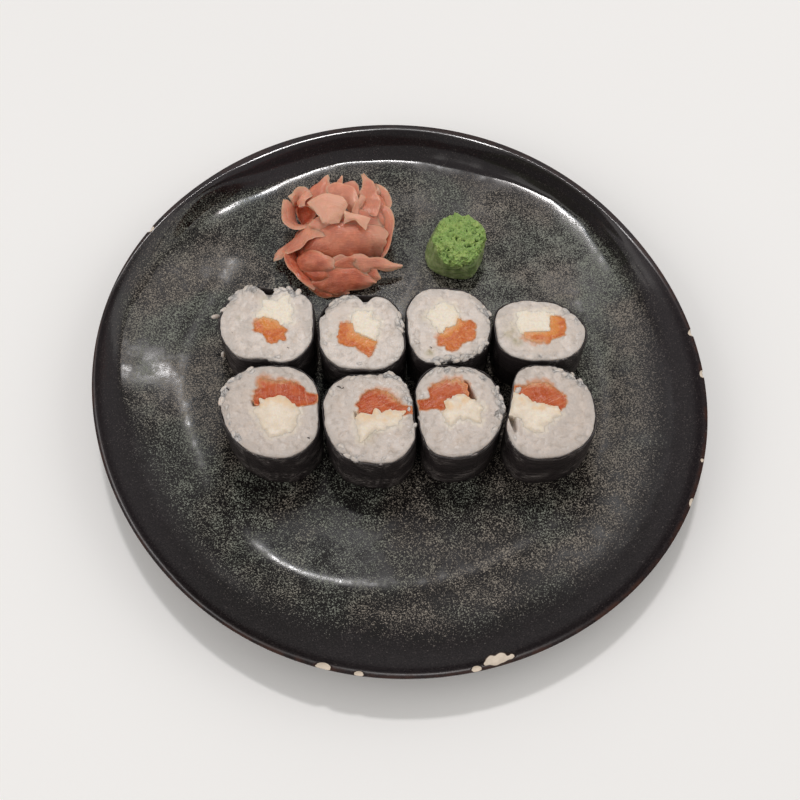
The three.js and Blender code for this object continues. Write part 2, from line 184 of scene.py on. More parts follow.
# several skins as one: their arrays end to end, each skin's faces counted on from the last one's points
def joined(skins):
    start = np.cumsum([0] + [len(part["points"]) for part in skins])
    whole = {key: np.concatenate([part[key] for part in skins]) for key in skins[0] if key != "faces"}
    return {**whole, "faces": [face + n for part, n in zip(skins, start) for face in part["faces"]]}


def addPiece(name, shape, material, slot=None, nodes=()):
    mesh = bpy.data.meshes.new(name)
    faces = [face for part in shape["faces"] for face in part.tolist()]
    mesh.from_pydata((shape["points"] * mm).tolist(), [], faces)
    for key, value in shape.items():
        if key not in ("points", "faces"):
            mesh.attributes.new(key, "FLOAT", "POINT").data.foreach_set("value", value.astype(np.float32))
    mesh.shade_smooth()
    mesh.materials.append(material)
    piece = bpy.data.objects.new(name, mesh)
    bpy.context.scene.collection.objects.link(piece)
    if slot:
        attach(piece, "root")
    if nodes:
        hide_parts(*nodes)
    return piece


# screen colour 0 to 255 as the linear colour that Blender wants
def tone(red, green, blue):
    c = np.array([red, green, blue]) / 255
    linear = np.where(c <= 0.04045, c / 12.92, ((c + 0.055) / 1.055) ** 2.4)
    return (*linear.tolist(), 1.0)


# a shader node in the tree of the first pattern among its inputs; a pattern is a node's output
def addNode(kind, inputs, tree=None, **settings):
    if tree is None:
        tree = next(v.id_data for v in inputs.values() if isinstance(v, bpy.types.NodeSocket))
    made = tree.nodes.new("ShaderNode" + kind)
    for key, value in settings.items():
        setattr(made, key, value)
    for key, value in inputs.items():
        if isinstance(value, bpy.types.NodeSocket):
            tree.links.new(value, made.inputs[key])
        else:
            made.inputs[key].default_value = value
    return made


# a material, and the place on the object that its patterns start from
def newMaterial(name, **settings):
    material = bpy.data.materials.new(name)
    material.use_nodes = True
    for key, value in settings.items():
        material.node_tree.nodes["Principled BSDF"].inputs[key.replace("_", " ")].default_value = value
    return material, addNode("TexCoord", {}, material.node_tree).outputs["Object"]


# food that light passes into: how much of it, how far for each colour, at most how many millimetres,
# and its index of refraction
def moistMaterial(name, weight, radius, scale, bends):
    depth = {"Subsurface_Weight": weight, "Subsurface_Radius": radius, "Subsurface_Scale": scale * mm}
    return newMaterial(name, **depth, IOR=bends)


# puts patterns into the shader's sockets
def wire(material, **patterns):
    for key, pattern in patterns.items():
        socket = material.node_tree.nodes["Principled BSDF"].inputs[key.replace("_", " ")]
        material.node_tree.links.new(pattern, socket)
    return material


def attribute(material, name):
    return addNode("Attribute", {}, material.node_tree, attribute_name=name).outputs["Fac"]


# cloudy pattern whose cells are size millimetres wide
def clouds(place, size, detail=2.0, rough=0.5, warp=0.0):
    inputs = {"Vector": place, "Scale": 1 / (size * mm), "Detail": detail, "Roughness": rough}
    return addNode("TexNoise", {**inputs, "Distortion": warp}).outputs["Fac"]


# cloudy pattern along a line, its cells a millimetre over the scale long
def strands(along, scale, **inputs):
    return addNode("TexNoise", {"W": along, "Scale": scale, **inputs}, noise_dimensions="1D").outputs["Fac"]


def turnedPlace(place, turn, stretch):
    return addNode("Mapping", {"Vector": place, "Rotation": turn, "Scale": stretch}).outputs["Vector"]


# a flat place from two patterns
def sheetPlace(x, y):
    return addNode("CombineXYZ", {0: x, 1: y, 2: 0.0}).outputs[0]


# eases from toLow to toHigh while the value goes from low to high
def between(value, low, high, toLow=0.0, toHigh=1.0):
    inputs = {"Value": value, "From Min": low, "From Max": high, "To Min": toLow, "To Max": toHigh}
    return addNode("MapRange", inputs, interpolation_type="SMOOTHSTEP").outputs["Result"]


def combine(operation, *values):
    return addNode("Math", dict(enumerate(values)), operation=operation).outputs[0]


def plus(a, b):
    return combine("ADD", a, b)


def times(a, b):
    return combine("MULTIPLY", a, b)


def mixed(amount, a, b):
    return addNode("Mix", {0: amount, 6: a, 7: b}, data_type="RGBA").outputs[2]


def mixedValue(amount, a, b):
    return addNode("Mix", {0: amount, 2: a, 3: b}).outputs[0]


# the shader's normal from a pattern that stands out by up to depth millimetres
def bump(height, depth):
    return addNode("Bump", {"Height": height, "Distance": depth * mm, "Strength": 1.0}).outputs["Normal"]


# camera, floor and lights; the ceiling lamp is far, so that its glints on the glaze are small
camera = {
    "position": (1.1, -215.5, 408.5), "target": (1.1, -11.2, 7.5),
    "lens": 46.17, "sensor": 36.0,
    "sees": 20,    # metres
}

# name, way to the light, how far off, size, watts, colour
lights = [
    ("ceilingLamp", (0, 0.5, 1), 4000, (320, 200), 36, (1.0, 0.97, 0.96)),
    ("warmSide", (0.08, 0.5, 1), 4000, (360, 300), 3, (1.0, 0.82, 0.8)),
    ("coolSide", (-0.08, 0.5, 1), 4000, (360, 300), 3, (0.7, 0.85, 1.0)),
    ("windowRight", (0.8, 0.1, 0.6), 1500, (1400, 1000), 4.6, (1.0, 0.98, 0.95)),
    ("windowLeft", (-0.75, -0.35, 0.62), 1500, (1400, 1000), 5.6, (1.0, 0.96, 0.93)),
]
roomGlow = {"Color": (1.0, 0.98, 0.96, 1.0), "Strength": 0.42}
floorReach = 4000


def aim(name, data, position, target):
    obj = bpy.data.objects.new(name, data)
    position, target = Vector(position) * mm, Vector(target) * mm
    obj.location = position
    obj.rotation_euler = (target - position).to_track_quat("-Z", "Y").to_euler()
    bpy.context.scene.collection.objects.link(obj)
    return obj


lensData = bpy.data.cameras.new("viewCamera")
lensData.lens = camera["lens"]
lensData.sensor_width = camera["sensor"]
lensData.clip_end = camera["sees"]
bpy.context.scene.camera = aim("viewCamera", lensData, camera["position"], camera["target"])

for name, toward, away, size, watts, colour in lights:
    lamp = bpy.data.lights.new(name, "AREA")
    lamp.shape = "RECTANGLE"
    lamp.size, lamp.size_y = (side * mm for side in size)
    lamp.energy = watts
    lamp.color = colour
    way = np.array(toward) / np.linalg.norm(toward)
    aim(name, lamp, tuple(way * away), (0, 0, 0))

world = bpy.data.worlds.new("room")
world.use_nodes = True
for key, value in roomGlow.items():
    world.node_tree.nodes["Background"].inputs[key].default_value = value
bpy.context.scene.world = world
bpy.context.scene.view_settings.view_transform = "Standard"


def floorFinish():
    material, place = newMaterial("paleFloor", Roughness=0.7)
    return wire(material, Base_Color=mixed(clouds(place, 300), tone(251, 251, 250), tone(254, 254, 253)))


corners = np.array([[-1, -1, 0], [1, -1, 0], [1, 1, 0], [-1, 1, 0]]) * float(floorReach)
tableFloor = addPiece("tableFloor", {"points": corners, "faces": [np.array([[0, 1, 2, 3]])]}, floorFinish())
print("camera, lights and floor set")


# the plate; shares are of the rim's radius
plate = {
    "columns": 600,
    "meanRadius": 133.0,
    "swells": [(3.4, 2, -57.5), (0.4, 3, -22.5), (0.5, 4, -20.0)],    # by, times a turn, heading
    "lipWave": (0.5, 3, 40.0),
    "lipHeight": 20.6,
    "middle": (0.25, 0.37),        # of the rim's outline, off the axis that the rim is turned on
    # share of the radius and height, in front, at the back and where the rim is a level ledge:
    # floor, crease, slope, wall, lip
    "upper": [
        (0, 7.5, 7.5, 7.5), (0.12, 7.5, 7.5, 7.5), (0.25, 7.5, 7.5, 7.5), (0.38, 7.5, 7.5, 7.5),
        (0.5, 7.5, 7.5, 7.5), (0.6, 7.5, 7.5, 7.5), (0.66, 7.5, 7.52, 7.52), (0.7, 7.53, 7.62, 7.62),
        (0.72, 7.8, 7.7, 7.7), (0.742, 8.45, 7.78, 7.78), (0.77, 9.5, 7.9, 7.9), (0.8, 10.65, 8.03, 8.1),
        (0.84, 12.15, 8.25, 8.4), (0.868, 13.2, 8.5, 9.0), (0.883, 13.8, 8.72, 10.0),
        (0.893, 14.2, 8.95, 11.6), (0.905, 14.72, 9.6, 14.2), (0.92, 15.45, 11.2, 17.4),
        (0.93, 16.0, 12.5, 18.4), (0.94, 16.55, 13.8, 18.75), (0.955, 17.5, 15.9, 19.08),
        (0.967, 18.35, 17.65, 19.33), (0.974, 19.05, 18.8, 19.48), (0.978, 19.55, 19.5, 19.56),
        (0.981, 19.95, 20.0, 19.62), (0.983, 20.17, 20.22, 19.66), (0.9855, 20.31, 20.31, 19.71),
        (0.988, 20.39, 20.36, 19.76), (0.9905, 20.44, 20.41, 19.81), (0.993, 20.47, 20.44, 19.85),
        (0.9955, 20.46, 20.46, 19.88), (0.998, 20.42, 20.44, 19.87), (0.9995, 20.35, 20.37, 19.82),
    ],
    # the same share and height: outside, foot ring, underside
    "lower": [
        (1.0, 19.6), (0.998, 18.6), (0.987, 16), (0.95, 11.2), (0.885, 7), (0.78, 4), (0.65, 2.6),
        (0.612, 2.2), (0.604, 0.5), (0.597, 0), (0.58, 0), (0.563, 0), (0.556, 0.5), (0.548, 2.0),
        (0.52, 2.2), (0.3, 2.2), (0, 2.2),
    ],
    "rowsPastLip": 4,              # of the highest row, that still belong to the upper side
    "knee": (0.76, 0.885),         # shares between which a shift of the knee grows to its full size
    "kneeRipple": (0.006, 0.12),   # how far and how wide the hand's small unevenness there is
    "lipCrest": 0.0095,            # share over which a shift of the lip fades out to the rim
    # unevenness of the upper side: height, width, seed; over all of it and on the slope and wall only
    "hand": [(0.12, 26, 31), (0.16, 34, 32)],
    # soft swellings of the upper side: middle, height and radii
    "swellings": [((-100, -14), 0.35, (9, 12)), ((-62, -66), -0.3, (14, 8)), ((92, 60), 0.3, (14, 14))],
    # heading, half sizes inwards, along the rim and down, how far in from the rim, over the lip, lean
    "chips": [
        (-73.1, (4.2, 6.3, 1.6), 3.9, -0.8, 25), (-77.0, (1.4, 1.8, 1.4), 0.9, 0.1, 0),
        (-96, (1.3, 1.7, 1.3), 0.4, 0.2, 0), (-102, (2.1, 3.1, 2.1), 0.3, 0.3, 0),
        (-28, (1.5, 2.5, 1.5), -0.2, 0.2, 0), (-2, (1.8, 2, 1.8), 0, 0.3, 0),
        (7, (1.8, 1.8, 1.8), 0, 0.3, 0), (148, (1.8, 2, 1.8), 0, 0.3, 0),
        (-19.6, (0.9, 0.8, 0.9), 0.8, 0.1, 0),
    ],
    "chipWay": (-0.45, 0, -0.9),   # the slanting line that a point moves down, inwards, along and up
    "chipRagged": (0.22, 2.2),
    "chipColumns": (2.2, 1.8),     # how many times more columns there are at a chip, over how many half sizes
    # where the rolls stand the glaze is dulled and its speckle darkened as painted shade: ends of its soft
    # edges from left to right and front to back
    "damp": ((-84, -70), (90, 76), (-82, -52), (40, 26)),
}

# what changes round the plate, at every fifteenth or thirtieth degree
plateTurn = {
    # how much of the back and of the ledge there is
    "backness": [0, 0.1, 0.25, 0.7, 1, 1, 1, 1, 0.85, 0.05, 0, 0.05, 0.42, 0, 0, 0, 0, 0, 0, 0, 0, 0, 0, 0],
    "ledge": [0, 0.1, 0.7, 0.3, 0, 0, 0, 0, 0.15, 0.95, 0.15, 0, 0, 0, 0, 0, 0, 0, 0, 0, 0, 0, 0, 0],
    # shares that the knee between slope and wall moves outwards, and the outside below it, so that the
    # wall keeps its thickness
    "kneeShift": [
        0, 0.01, 0.03, 0.06, 0.042, 0.01, 0.02, 0.022, 0.015, 0.06, 0.03, 0.05,
        0.04, 0, 0, 0, 0.01, -0.005, 0, 0.005, 0, 0.01, 0, 0,
    ],
    "underShift": [
        0, 0.01, 0.032, 0.06, 0.05, 0.03, 0.024, 0.026, 0.03, 0.048, 0.03, 0.01,
        0, 0, 0, 0, 0, 0, 0, 0, 0, 0, 0, 0,
    ],
    # the same for the crest of the lip and for the crease round the floor
    "lipShift": [
        0, -0.004, -0.01, -0.015, -0.015, -0.013, -0.011, -0.014, -0.017, -0.013, -0.005, 0,
        0, 0, 0, 0, 0, 0, 0, 0, 0, 0, 0, 0,
    ],
    "creaseShift": [-0.02, -0.015, 0, 0, 0, -0.01, 0.008, 0.0, 0.025, -0.012, -0.03, -0.02],
    # how matt the glaze is, and how worn and dull the lip is
    "matt": [
        1, 1, 0.5, 0.1, 0, 0.9, 0, 0, 0, 0, 0.8, 1,
        0.5, 0.5, 0.8, 1, 0.3, 0.35, 0.85, 0.9, 1, 0.7, 0.8, 1,
    ],
    "lipWear": [
        1, 0.8, 0.25, -0.1, -0.1, 0, 0.3, -0.05, -0.1, 0, 0.2, 0.6,
        0.7, 0.6, 0.5, 0.5, 0.6, 0.7, 0.5, 0.5, 0.8, 1, 1, 1,
    ],
    # how far out the speckle goes, how light it is and how much a painted reflection lightens the bare rim
    "speckleReach": [0, 0.08, 0.03, 0.04, 0.07, 0.12, 0.05, 0.02, 0.03, 0.03, 0.03, 0.02],
    "speckleLight": [0.4, 0.2, -0.2, -0.7, -1.1, -0.9, -0.2, -1.3, -1.9, -2.1, -1.8, -0.8],
    "rimLight": [0.6, 1, 0.7, 0.4, 1, 1, 0.6, 0.4, 0, 0.3, 0.2, 0.4],
}


# a circle with a cosine of two, three and four swells a turn added
def rimRadius(angle):
    return plate["meanRadius"] + sum(by * np.cos(n * (angle - np.radians(h))) for by, n, h in plate["swells"])


# how far the lip's wave lifts it: a cosine of the heading
def lipRise(angle):
    by, times, crest = plate["lipWave"]
    return by * np.cos(times * (angle - np.radians(crest)))


# headings packed closer near the chips: equal steps of the running sum of a density with a bump at each
def plateHeadings():
    fine = np.linspace(-np.pi, np.pi, 7201)
    density = np.ones_like(fine)
    more, over = plate["chipColumns"]
    for heading, (_, half, _), *_ in plate["chips"]:
        off = np.radians(degreesFrom(heading, fine)) * plate["meanRadius"]
        density += more * np.exp(-(off / (over * half)) ** 4)
    run = np.cumsum(density)
    return np.interp(np.linspace(run[0], run[-1], plate["columns"], endpoint=False), run, fine)


# the points with those that lie in a chip's ragged ellipsoid moved down a slanting line until they are
# out of it, by the quadratic that meets its far side; and how bare of glaze that leaves each
def chipped(points):
    bare = np.zeros(points.shape[:2])
    slant = np.array(plate["chipWay"])
    rough, grain = plate["chipRagged"]
    for number, (heading, halves, inset, lift, lean) in enumerate(plate["chips"]):
        turn = np.radians(heading)
        middle = polar(rimRadius(turn) - inset, turn, plate["lipHeight"] + lipRise(turn) + lift)
        outward, upward = polar(1, turn, 0), np.array([0, 0, 1.0])
        level, steep = np.cos(np.radians(lean)), np.sin(np.radians(lean))
        rimward = [-np.sin(turn), np.cos(turn), 0]
        axes = np.array([level * outward + steep * upward, rimward, level * upward - steep * outward])
        size = np.array(halves) * (1 + rough * cloud(points, grain, 50 + number))[..., None]
        local = (points - middle) @ axes.T / size
        way = slant / size
        a = (way**2).sum(-1)
        b = (local * way).sum(-1)
        c = (local**2).sum(-1) - 1
        push = np.where(c < 0, (-b + np.sqrt(np.maximum(b * b - a * c, 0))) / a, 0)
        points = points + push[..., None] * (slant @ axes)
        bare = np.maximum(bare, np.clip(push / 0.5, 0, 1))
    return points, bare


# turned profile times the rim's radius at each heading, its knee, crease and lip shifted, lifted by the
# lip's wave and soft dents, and chipped
def plateSkin():
    outside = [(share, height, height, height) for share, height in plate["lower"]]
    line = cutCorners(np.array(plate["upper"] + outside))
    share, front, back, ledge = line.T[..., None]
    topSide = np.arange(len(line))[:, None] < line[:, 1].argmax() + plate["rowsPastLip"]
    angle = plateHeadings()[None]
    at = {key: aroundTurn(values, angle) for key, values in plateTurn.items()}
    low, high = plate["knee"]
    ripple, rippleWide = plate["kneeRipple"]
    knee = np.clip((share - low) / (high - low), 0, 1) * np.clip((1 - share) / (1 - high), 0, 1)
    upper = knee * (at["kneeShift"] + ripple * cloud(polar(1, angle), rippleWide, 34, 2))
    upper = upper + at["creaseShift"] * ease(0.55, 0.7, share) * ease(0.86, 0.74, share)
    upper = upper + at["lipShift"] * ease(0.93, 0.975, share) * np.clip((1 - share) / plate["lipCrest"], 0, 1)
    under = knee * np.maximum(at["underShift"], 0)
    radius = (share + np.where(topSide, upper, under)) * rimRadius(angle)
    flat = polar(radius, angle)
    x, y = np.moveaxis(flat, -1, 0)
    everywhere, outer = (by * cloud(flat, size, seed) for by, size, seed in plate["hand"])
    hand = everywhere + ease(0.7, 0.8, share) * outer
    for (midX, midY), rise, (wide, deep) in plate["swellings"]:
        hand = hand + rise * bell(x - midX, wide) * bell(y - midY, deep)
    height = front + at["backness"] * (back - front) + at["ledge"] * (ledge - front)
    height = height + ease(0.715, 1, share) * lipRise(angle)
    height = height + np.where(topSide, hand * (1 - ease(0.97, 1.0, share)), 0)
    points, bare = chipped(np.dstack([flat, height]))
    points[..., :2] -= plate["middle"]
    across = np.where(topSide, share, 2 - share)
    left, right, near, far = plate["damp"]
    damp = ease(*left, x) * ease(*right, x) * ease(*near, y) * ease(*far, y) * topSide
    inward = across - at["speckleReach"] + 0.1 * at["backness"] * ease(0.885, 0.91, share)
    worn = np.clip(at["lipWear"], 0, 1) * ease(0.95, 0.975, across)
    # the light pattern is the speckle's lightness by heading, lowered where the rolls stand as painted shade
    return skin(
        points, bare=bare, share=across, inward=inward, light=at["speckleLight"] - 0.5 * damp,
        rimLight=at["rimLight"], matt=at["matt"] * ease(0.93, 0.88, across), worn=worn, damp=damp)


# dark stoneware glaze: matt grey-green speckle in patches over glassy black-brown, which the rim is
# all of; a copper tint on the lip and bare clay with a scorched edge in the chips; the glaze is dull
# where it is worn and where the rolls stand, whose speckle is darkened as painted shade
def glazeFinish():
    material, place = newMaterial("speckledGlaze", IOR=1.5, Specular_IOR_Level=0.2)
    share = attribute(material, "share")
    fine = clouds(place, 0.55, 1.0, 0.6, 0.9)
    patch = clouds(place, 8, 3, 0.6)
    broad = clouds(place, 34, 2)
    lift = combine("MULTIPLY_ADD", patch, 0.32, -0.16)
    lift = plus(lift, times(attribute(material, "light"), 0.024))
    speckle = plus(fine, lift)
    inward = plus(attribute(material, "inward"), between(patch, 0.2, 0.8, -0.03, 0.03))
    rim = between(inward, 0.78, 0.93)
    speckle = combine("SUBTRACT", speckle, times(rim, 0.16))
    amount = between(speckle, 0.495, 0.61)
    light = mixed(between(broad, 0.4, 0.6), tone(138, 142, 131), tone(147, 139, 128))
    light = mixed(rim, light, tone(92, 86, 84))
    # the bare rim lighter at some headings: a painted reflection of the room
    darkRim = mixed(attribute(material, "rimLight"), tone(20, 16, 17), tone(46, 42, 45))
    darkRim = mixed(between(fine, 0.4, 0.7, 0, 0.3), darkRim, tone(76, 70, 70))
    dark = mixed(rim, tone(20, 17, 17), darkRim)
    glaze = mixed(amount, dark, light)
    worn = attribute(material, "worn")
    copper = times(between(share, 0.982, 0.997), between(patch, 0.4, 0.6, 0.1, 0.8))
    glaze = mixed(times(copper, between(worn, 0, 1, 0.4, 1)), glaze, tone(70, 46, 38))
    bare = attribute(material, "bare")
    clay = mixed(clouds(place, 1.2), tone(214, 198, 180), tone(234, 222, 206))
    scorch = mixed(between(bare, 0.02, 0.3), glaze, tone(46, 30, 20))
    colour = mixed(between(bare, 0.3, 0.55), scorch, clay)
    matt = plus(attribute(material, "matt"), between(patch, 0.3, 0.7, -0.25, 0.25))
    gloss = mixedValue(amount, between(matt, 0, 1, 0.13, 0.36), 0.46)
    mirror = mixedValue(amount, between(matt, 0, 1, 0.36, 0.15), 0.12)
    # less gloss where the lip is worn, and where the rolls stand beside the painted shade there
    quiet = combine("MAXIMUM", times(worn, 0.95), times(attribute(material, "damp"), 0.85))
    mirror = times(mirror, combine("SUBTRACT", 1.0, quiet))
    dull = combine("MAXIMUM", between(bare, 0.1, 0.5), times(quiet, 0.5))
    return wire(
        material, Base_Color=colour, Specular_IOR_Level=mirror, Roughness=plus(gloss, times(dull, 0.6)),
        Normal=bump(plus(fine, times(patch, 2.0)), 0.014))


addPiece("glazedPlate", plateSkin(), glazeFinish(), "plate", ["plate"])
print("plate done")


# the maki
maki = {
    "height": 25.0,
    "columns": 192,
    # share of the radius and drop below the cut face: edge, side and the face below
    "riceEdge": [
        (0.972, 0.06), (0.986, 0.2), (0.997, 0.5), (1.0, 0.9), (0.997, 1.6), (0.995, 5.8),
        (0.995, 6.2), (0.995, 24.9), (0.98, 25), (0.4, 25), (0, 25),
    ],
    "grain": (2.6, 1.4, 1.2),      # half length, half width, half height of a grain of rice
    "grainReach": 23,
    "grainsPerArea": 0.62,         # in a square of the reach
    "pocket": 3.2,                 # how far the rice sinks under each filling
    "deepest": 6.5,
    "noriColumns": 300,
    "noriRows": 30,
    "noriTop": 0.6,                # how far the nori's edge stays below the rice
    "noriInside": 0.12,
    "noriThick": 0.4,
    "noriLap": 0.3,
    "lapWidth": 50.0,
    # loose grains round each rim: how many all round, and in a ragged place for each degree of its width
    "looseGrains": (8, 0.34),
    # grains that cling beside the first roll: place, turn, tip, size
    "strayGrains": [(-79.5, 20.5, 25.5, 0.3, -0.2, 0.8), (-77.4, 9.0, 12.0, 1.3, 1.1, 0.7)],
}

# middle, rice radius at every thirtieth degree, outlines of the fillings, heading of the nori's free
# end, how far salmon and cream stand out, headings and widths where the rim of rice is ragged, heading
# of the salmon's soft side, how dark and deep the salmon is, which also sets the painted shade that
# darkens the roll's rice and cream; notches in the rim by heading, width and depth; tinges by place,
# size and strength; a hollow by outline and depth
rolls = [
    {
        "middle": (-56, 13.2), "rice": [19.7, 21, 19.5, 17, 20.5, 20, 20, 19.5, 19.5, 17.5, 21.5, 21.5],
        "salmon": [
            (-6, -0.5), (-4, 2), (2, 2), (5.5, -0.5), (8.5, -3.5), (8, -8.5), (1.5, -10.5), (-1, -6.5),
            (-5.5, -4)],
        "cream": [
            (-4.5, 3), (-3.5, 8), (-1, 11.5), (4, 11.5), (8.5, 13.5), (11, 5), (10.5, -1), (5, -2), (0, -2)],
        "lap": 130, "proud": (0.1, 0.3), "ragged": [(115, 50), (60, 25)], "soft": 90, "deep": 0.0,
        "notches": [(88, 8, 6.0)], "stains": [(-1, 12, 2.5, 0.35), (-12, 2, 1.5, 0.25)],
    },
    {
        "middle": (-15, 8.6), "rice": [17.2, 18.6, 19.5, 18, 20, 20, 18.2, 19, 19, 17.8, 19.8, 20],
        "salmon": [
            (-9.5, 3.5), (-6.5, 4.5), (-4, 3.5), (-2.5, -1), (6, -5), (6, -8), (3, -12.5), (-1, -9),
            (-8, -6.5), (-10.5, -5)],
        "cream": [(-5, 6), (-2.5, 11), (3.5, 11), (5, 7), (8.5, 5), (7, 0), (5, -7), (-5, -3)],
        "lap": 70, "proud": (0.1, 0.5), "ragged": [(125, 40), (15, 22)], "soft": 60, "deep": 0.1,
        "notches": [(86, 8, 4.2), (152, 5, 1.8)], "stains": [(-13, -2, 2, 0.25)],
    },
    {
        "middle": (21.5, 12.2), "rice": [18, 18.5, 18.5, 18, 20, 19.4, 17, 18.5, 20.3, 17.6, 18.4, 18.6],
        "salmon": [
            (-5.5, -8), (-4, -5.5), (3.5, 0.5), (4.5, 2.5), (12, 0.5), (11, -6), (8, -8.5), (1.5, -13.5),
            (-4, -11)],
        "cream": [(-9, 3.5), (-8, 7.5), (-1, 11), (3.5, 7.5), (5, 0), (0, -6), (-4, -5), (-6, -1)],
        "lap": 60, "proud": (0.1, 0.4), "ragged": [(285, 50), (20, 25)], "soft": 130, "deep": 0.1,
        "stains": [(-10, 4, 3, 0.25), (-8, -14, 2.2, 0.6)],
    },
    {
        "middle": (60.6, 9.3), "rice": [19.5, 17, 15.5, 14.5, 17, 20, 18.7, 18.6, 16, 14.4, 16, 18.5],
        "salmon": [
            (-7, -1), (3.5, -0.5), (4.5, 1), (5, 7), (10.5, 6), (11.5, 1), (10, -2.5), (3, -6.5),
            (-4.5, -5.5), (-7, -3)],
        "cream": [(-10, 8.5), (-5, 9.5), (7, 8.5), (6, -2), (-7, -2), (-9.5, 4)],
        "lap": 350, "proud": (0.1, 0.3), "ragged": [(30, 14)], "soft": 200, "deep": 0.0,
        "stains": [(-12.5, -1.5, 2.6, 0.8), (-9.5, -5.5, 2, 0.8), (-13, 4, 3, 0.3)],
    },
    {
        "middle": (-52, -28.9), "rice": [19.4, 21.3, 22, 20.8, 22, 22.5, 20, 18.5, 19, 20.5, 22.5, 22],
        "salmon": [
            (-7.5, 5.5), (-5, 15.5), (0, 14), (10.5, 13.5), (15, 8.5), (22, 7), (22, 5), (11, 1.5),
            (5.5, 3.5), (-6, 2.5)],
        "cream": [(-6, 0), (-4, 5), (8, 5), (12, -2), (11.5, -6), (8, -9), (0.5, -11.5), (-5.5, -3)],
        "hollow": ([(-8.5, 4.6), (-6.3, 4.4), (-4.6, 2.2), (-7.5, 1.8)], 3),
        "lap": 190, "proud": (-0.5, 0.3), "ragged": [(150, 35), (215, 18)], "soft": 110, "deep": 1.0,
        "fibre": (60, 12),
    },
    {
        "middle": (-11.5, -31.9), "rice": [18, 19.4, 22.3, 19.6, 21.4, 20.7, 18.3, 18.5, 19.5, 20, 22, 21],
        "salmon": [
            (-5.5, 3.5), (-4, 9.5), (-1, 12.5), (4, 13), (12, 8.5), (14, 5.5), (21, 5), (21, 2.5), (9.5, 0),
            (-4.5, -0.5)],
        "cream": [(-5.5, -2), (-3, 2), (13, 3), (14, 0.5), (12, -3.5), (2, -6.5), (-2.5, -10.5), (-5, -5)],
        "hollow": ([(-6.6, 2.6), (-5, 2.6), (-3.2, -0.9), (-6, -1)], 3),
        "lap": 235, "proud": (-0.4, 0.1), "ragged": [(65, 55), (245, 14)], "soft": 70, "deep": 0.9,
        "stains": [(-0.5, -8.5, 3.5, 0.45), (4, -4, 2.5, 0.3)],
    },
    {
        "middle": (25.5, -28.2), "rice": [17.8, 18.5, 20, 20, 21.8, 20.2, 16.8, 18.3, 21.8, 21, 19.5, 17.8],
        "salmon": [
            (-21, 3.5), (-13, 5), (-12.5, 10), (-7, 13), (-1, 14.5), (2, 13), (3.5, 3.5), (-6.5, -0.5),
            (-21, 0)],
        "cream": [
            (-6.5, -0.5), (-6, 4), (2, 7), (9, 2.5), (9.5, -3.5), (8.5, -7), (1.5, -4), (-3.5, -7.5),
            (-6.5, -4)],
        "hollow": ([(2, 13), (4, 12.5), (7.5, 4.5), (3, 3)], 6),
        "lap": 240, "proud": (-0.3, 0.5), "ragged": [(15, 45), (95, 30)], "soft": 60, "deep": 0.8,
    },
    {
        "middle": (61.8, -28.2), "rice": [19, 19.5, 19.5, 20.5, 21, 16, 15.6, 19.8, 23, 21.5, 20.5, 20],
        "salmon": [
            (-19, 7), (-19, 10), (-12, 11), (-6, 12), (0, 12.5), (4.5, 9.5), (8.5, 5.5), (8, 2), (5.5, -1),
            (-4, 0), (-11, 4)],
        "cream": [
            (-18, -1.5), (-18, 8), (-10, 7), (-4, 3), (4.5, 1), (4.5, -3.5), (0, -7), (-5.5, -11), (-10, -9),
            (-12, -4.5)],
        "hollow": ([(-17, -2), (-13.5, -2.5), (-13, -9.5), (-14.8, -10)], 5),
        "lap": 300, "proud": (-0.3, 0.3), "ragged": [(60, 34)], "soft": 80, "deep": 0.8,
    },
]


# where a roll's middle stands on the plate
def onPlate(roll):
    return np.array([*roll["middle"], floorHeight + gap])


# how far a cut face of rice sinks between its grains: the highest of many lying grains, each a dome
# c(1 - u^2/a^2 - v^2/b^2), sliced off level at zero; with the whiteness of the grain that is highest
def grainRelief(flat, draw):
    long, wide, tall = maki["grain"]
    reach = maki["grainReach"]
    count = int(reach**2 * maki["grainsPerArea"])
    distance = reach * np.sqrt(draw.random(count))
    middle = polar(distance, draw.uniform(0, fullTurn, count))
    turn = draw.uniform(0, np.pi, count)
    lift = draw.uniform(-0.95, 0.1, count)
    length = long * draw.uniform(0.45, 1, count)
    white = draw.random(count)
    offset = flat[..., None, :] - middle
    u = offset[..., 0] * np.cos(turn) + offset[..., 1] * np.sin(turn)
    v = offset[..., 1] * np.cos(turn) - offset[..., 0] * np.sin(turn)
    height = lift + tall * (1 - (u / length) ** 2 - (v / wide) ** 2)
    return np.clip(height.max(-1), -0.75, 0), white[height.argmax(-1)]


# 0 to 1 where the rim of rice is ragged: a bell round each of the roll's ragged headings
def raggedness(roll, angle):
    bells = [np.exp(-2 * (degreesFrom(mid, angle) / width) ** 2) for mid, width in roll["ragged"]]
    return np.clip(sum(bells), 0, 1)


# how far the rice is missing from its rim at each heading, a bell for each notch
def notchDepth(roll, angle):
    bells = [depth * bell(degreesFrom(mid, angle), width) for mid, width, depth in roll.get("notches", [])]
    return sum(bells) + 0 * angle


# 1 on the side where the salmon's outline fades softly into what lies beside it, 0 on the other sides
def facingSoft(roll, flat):
    off = flat - roll["salmonRing"].mean(0)
    turn = np.arctan2(off[..., 1], off[..., 0]) - np.radians(roll["soft"])
    return np.clip(np.cos(turn), 0, 1) ** 1.5


# tinged places on a cut face: a bell round each spot, broken up by clouds
def stainAt(roll, flat, seed):
    broken = 0.75 + 0.5 * cloud(flat, 1.6, seed + 9, 2)
    spots = roll.get("stains", [])
    bells = sum(much * bell(np.linalg.norm(flat - [x, y], axis=-1), size) for x, y, size, much in spots)
    return np.clip(bells * broken, 0, 1)


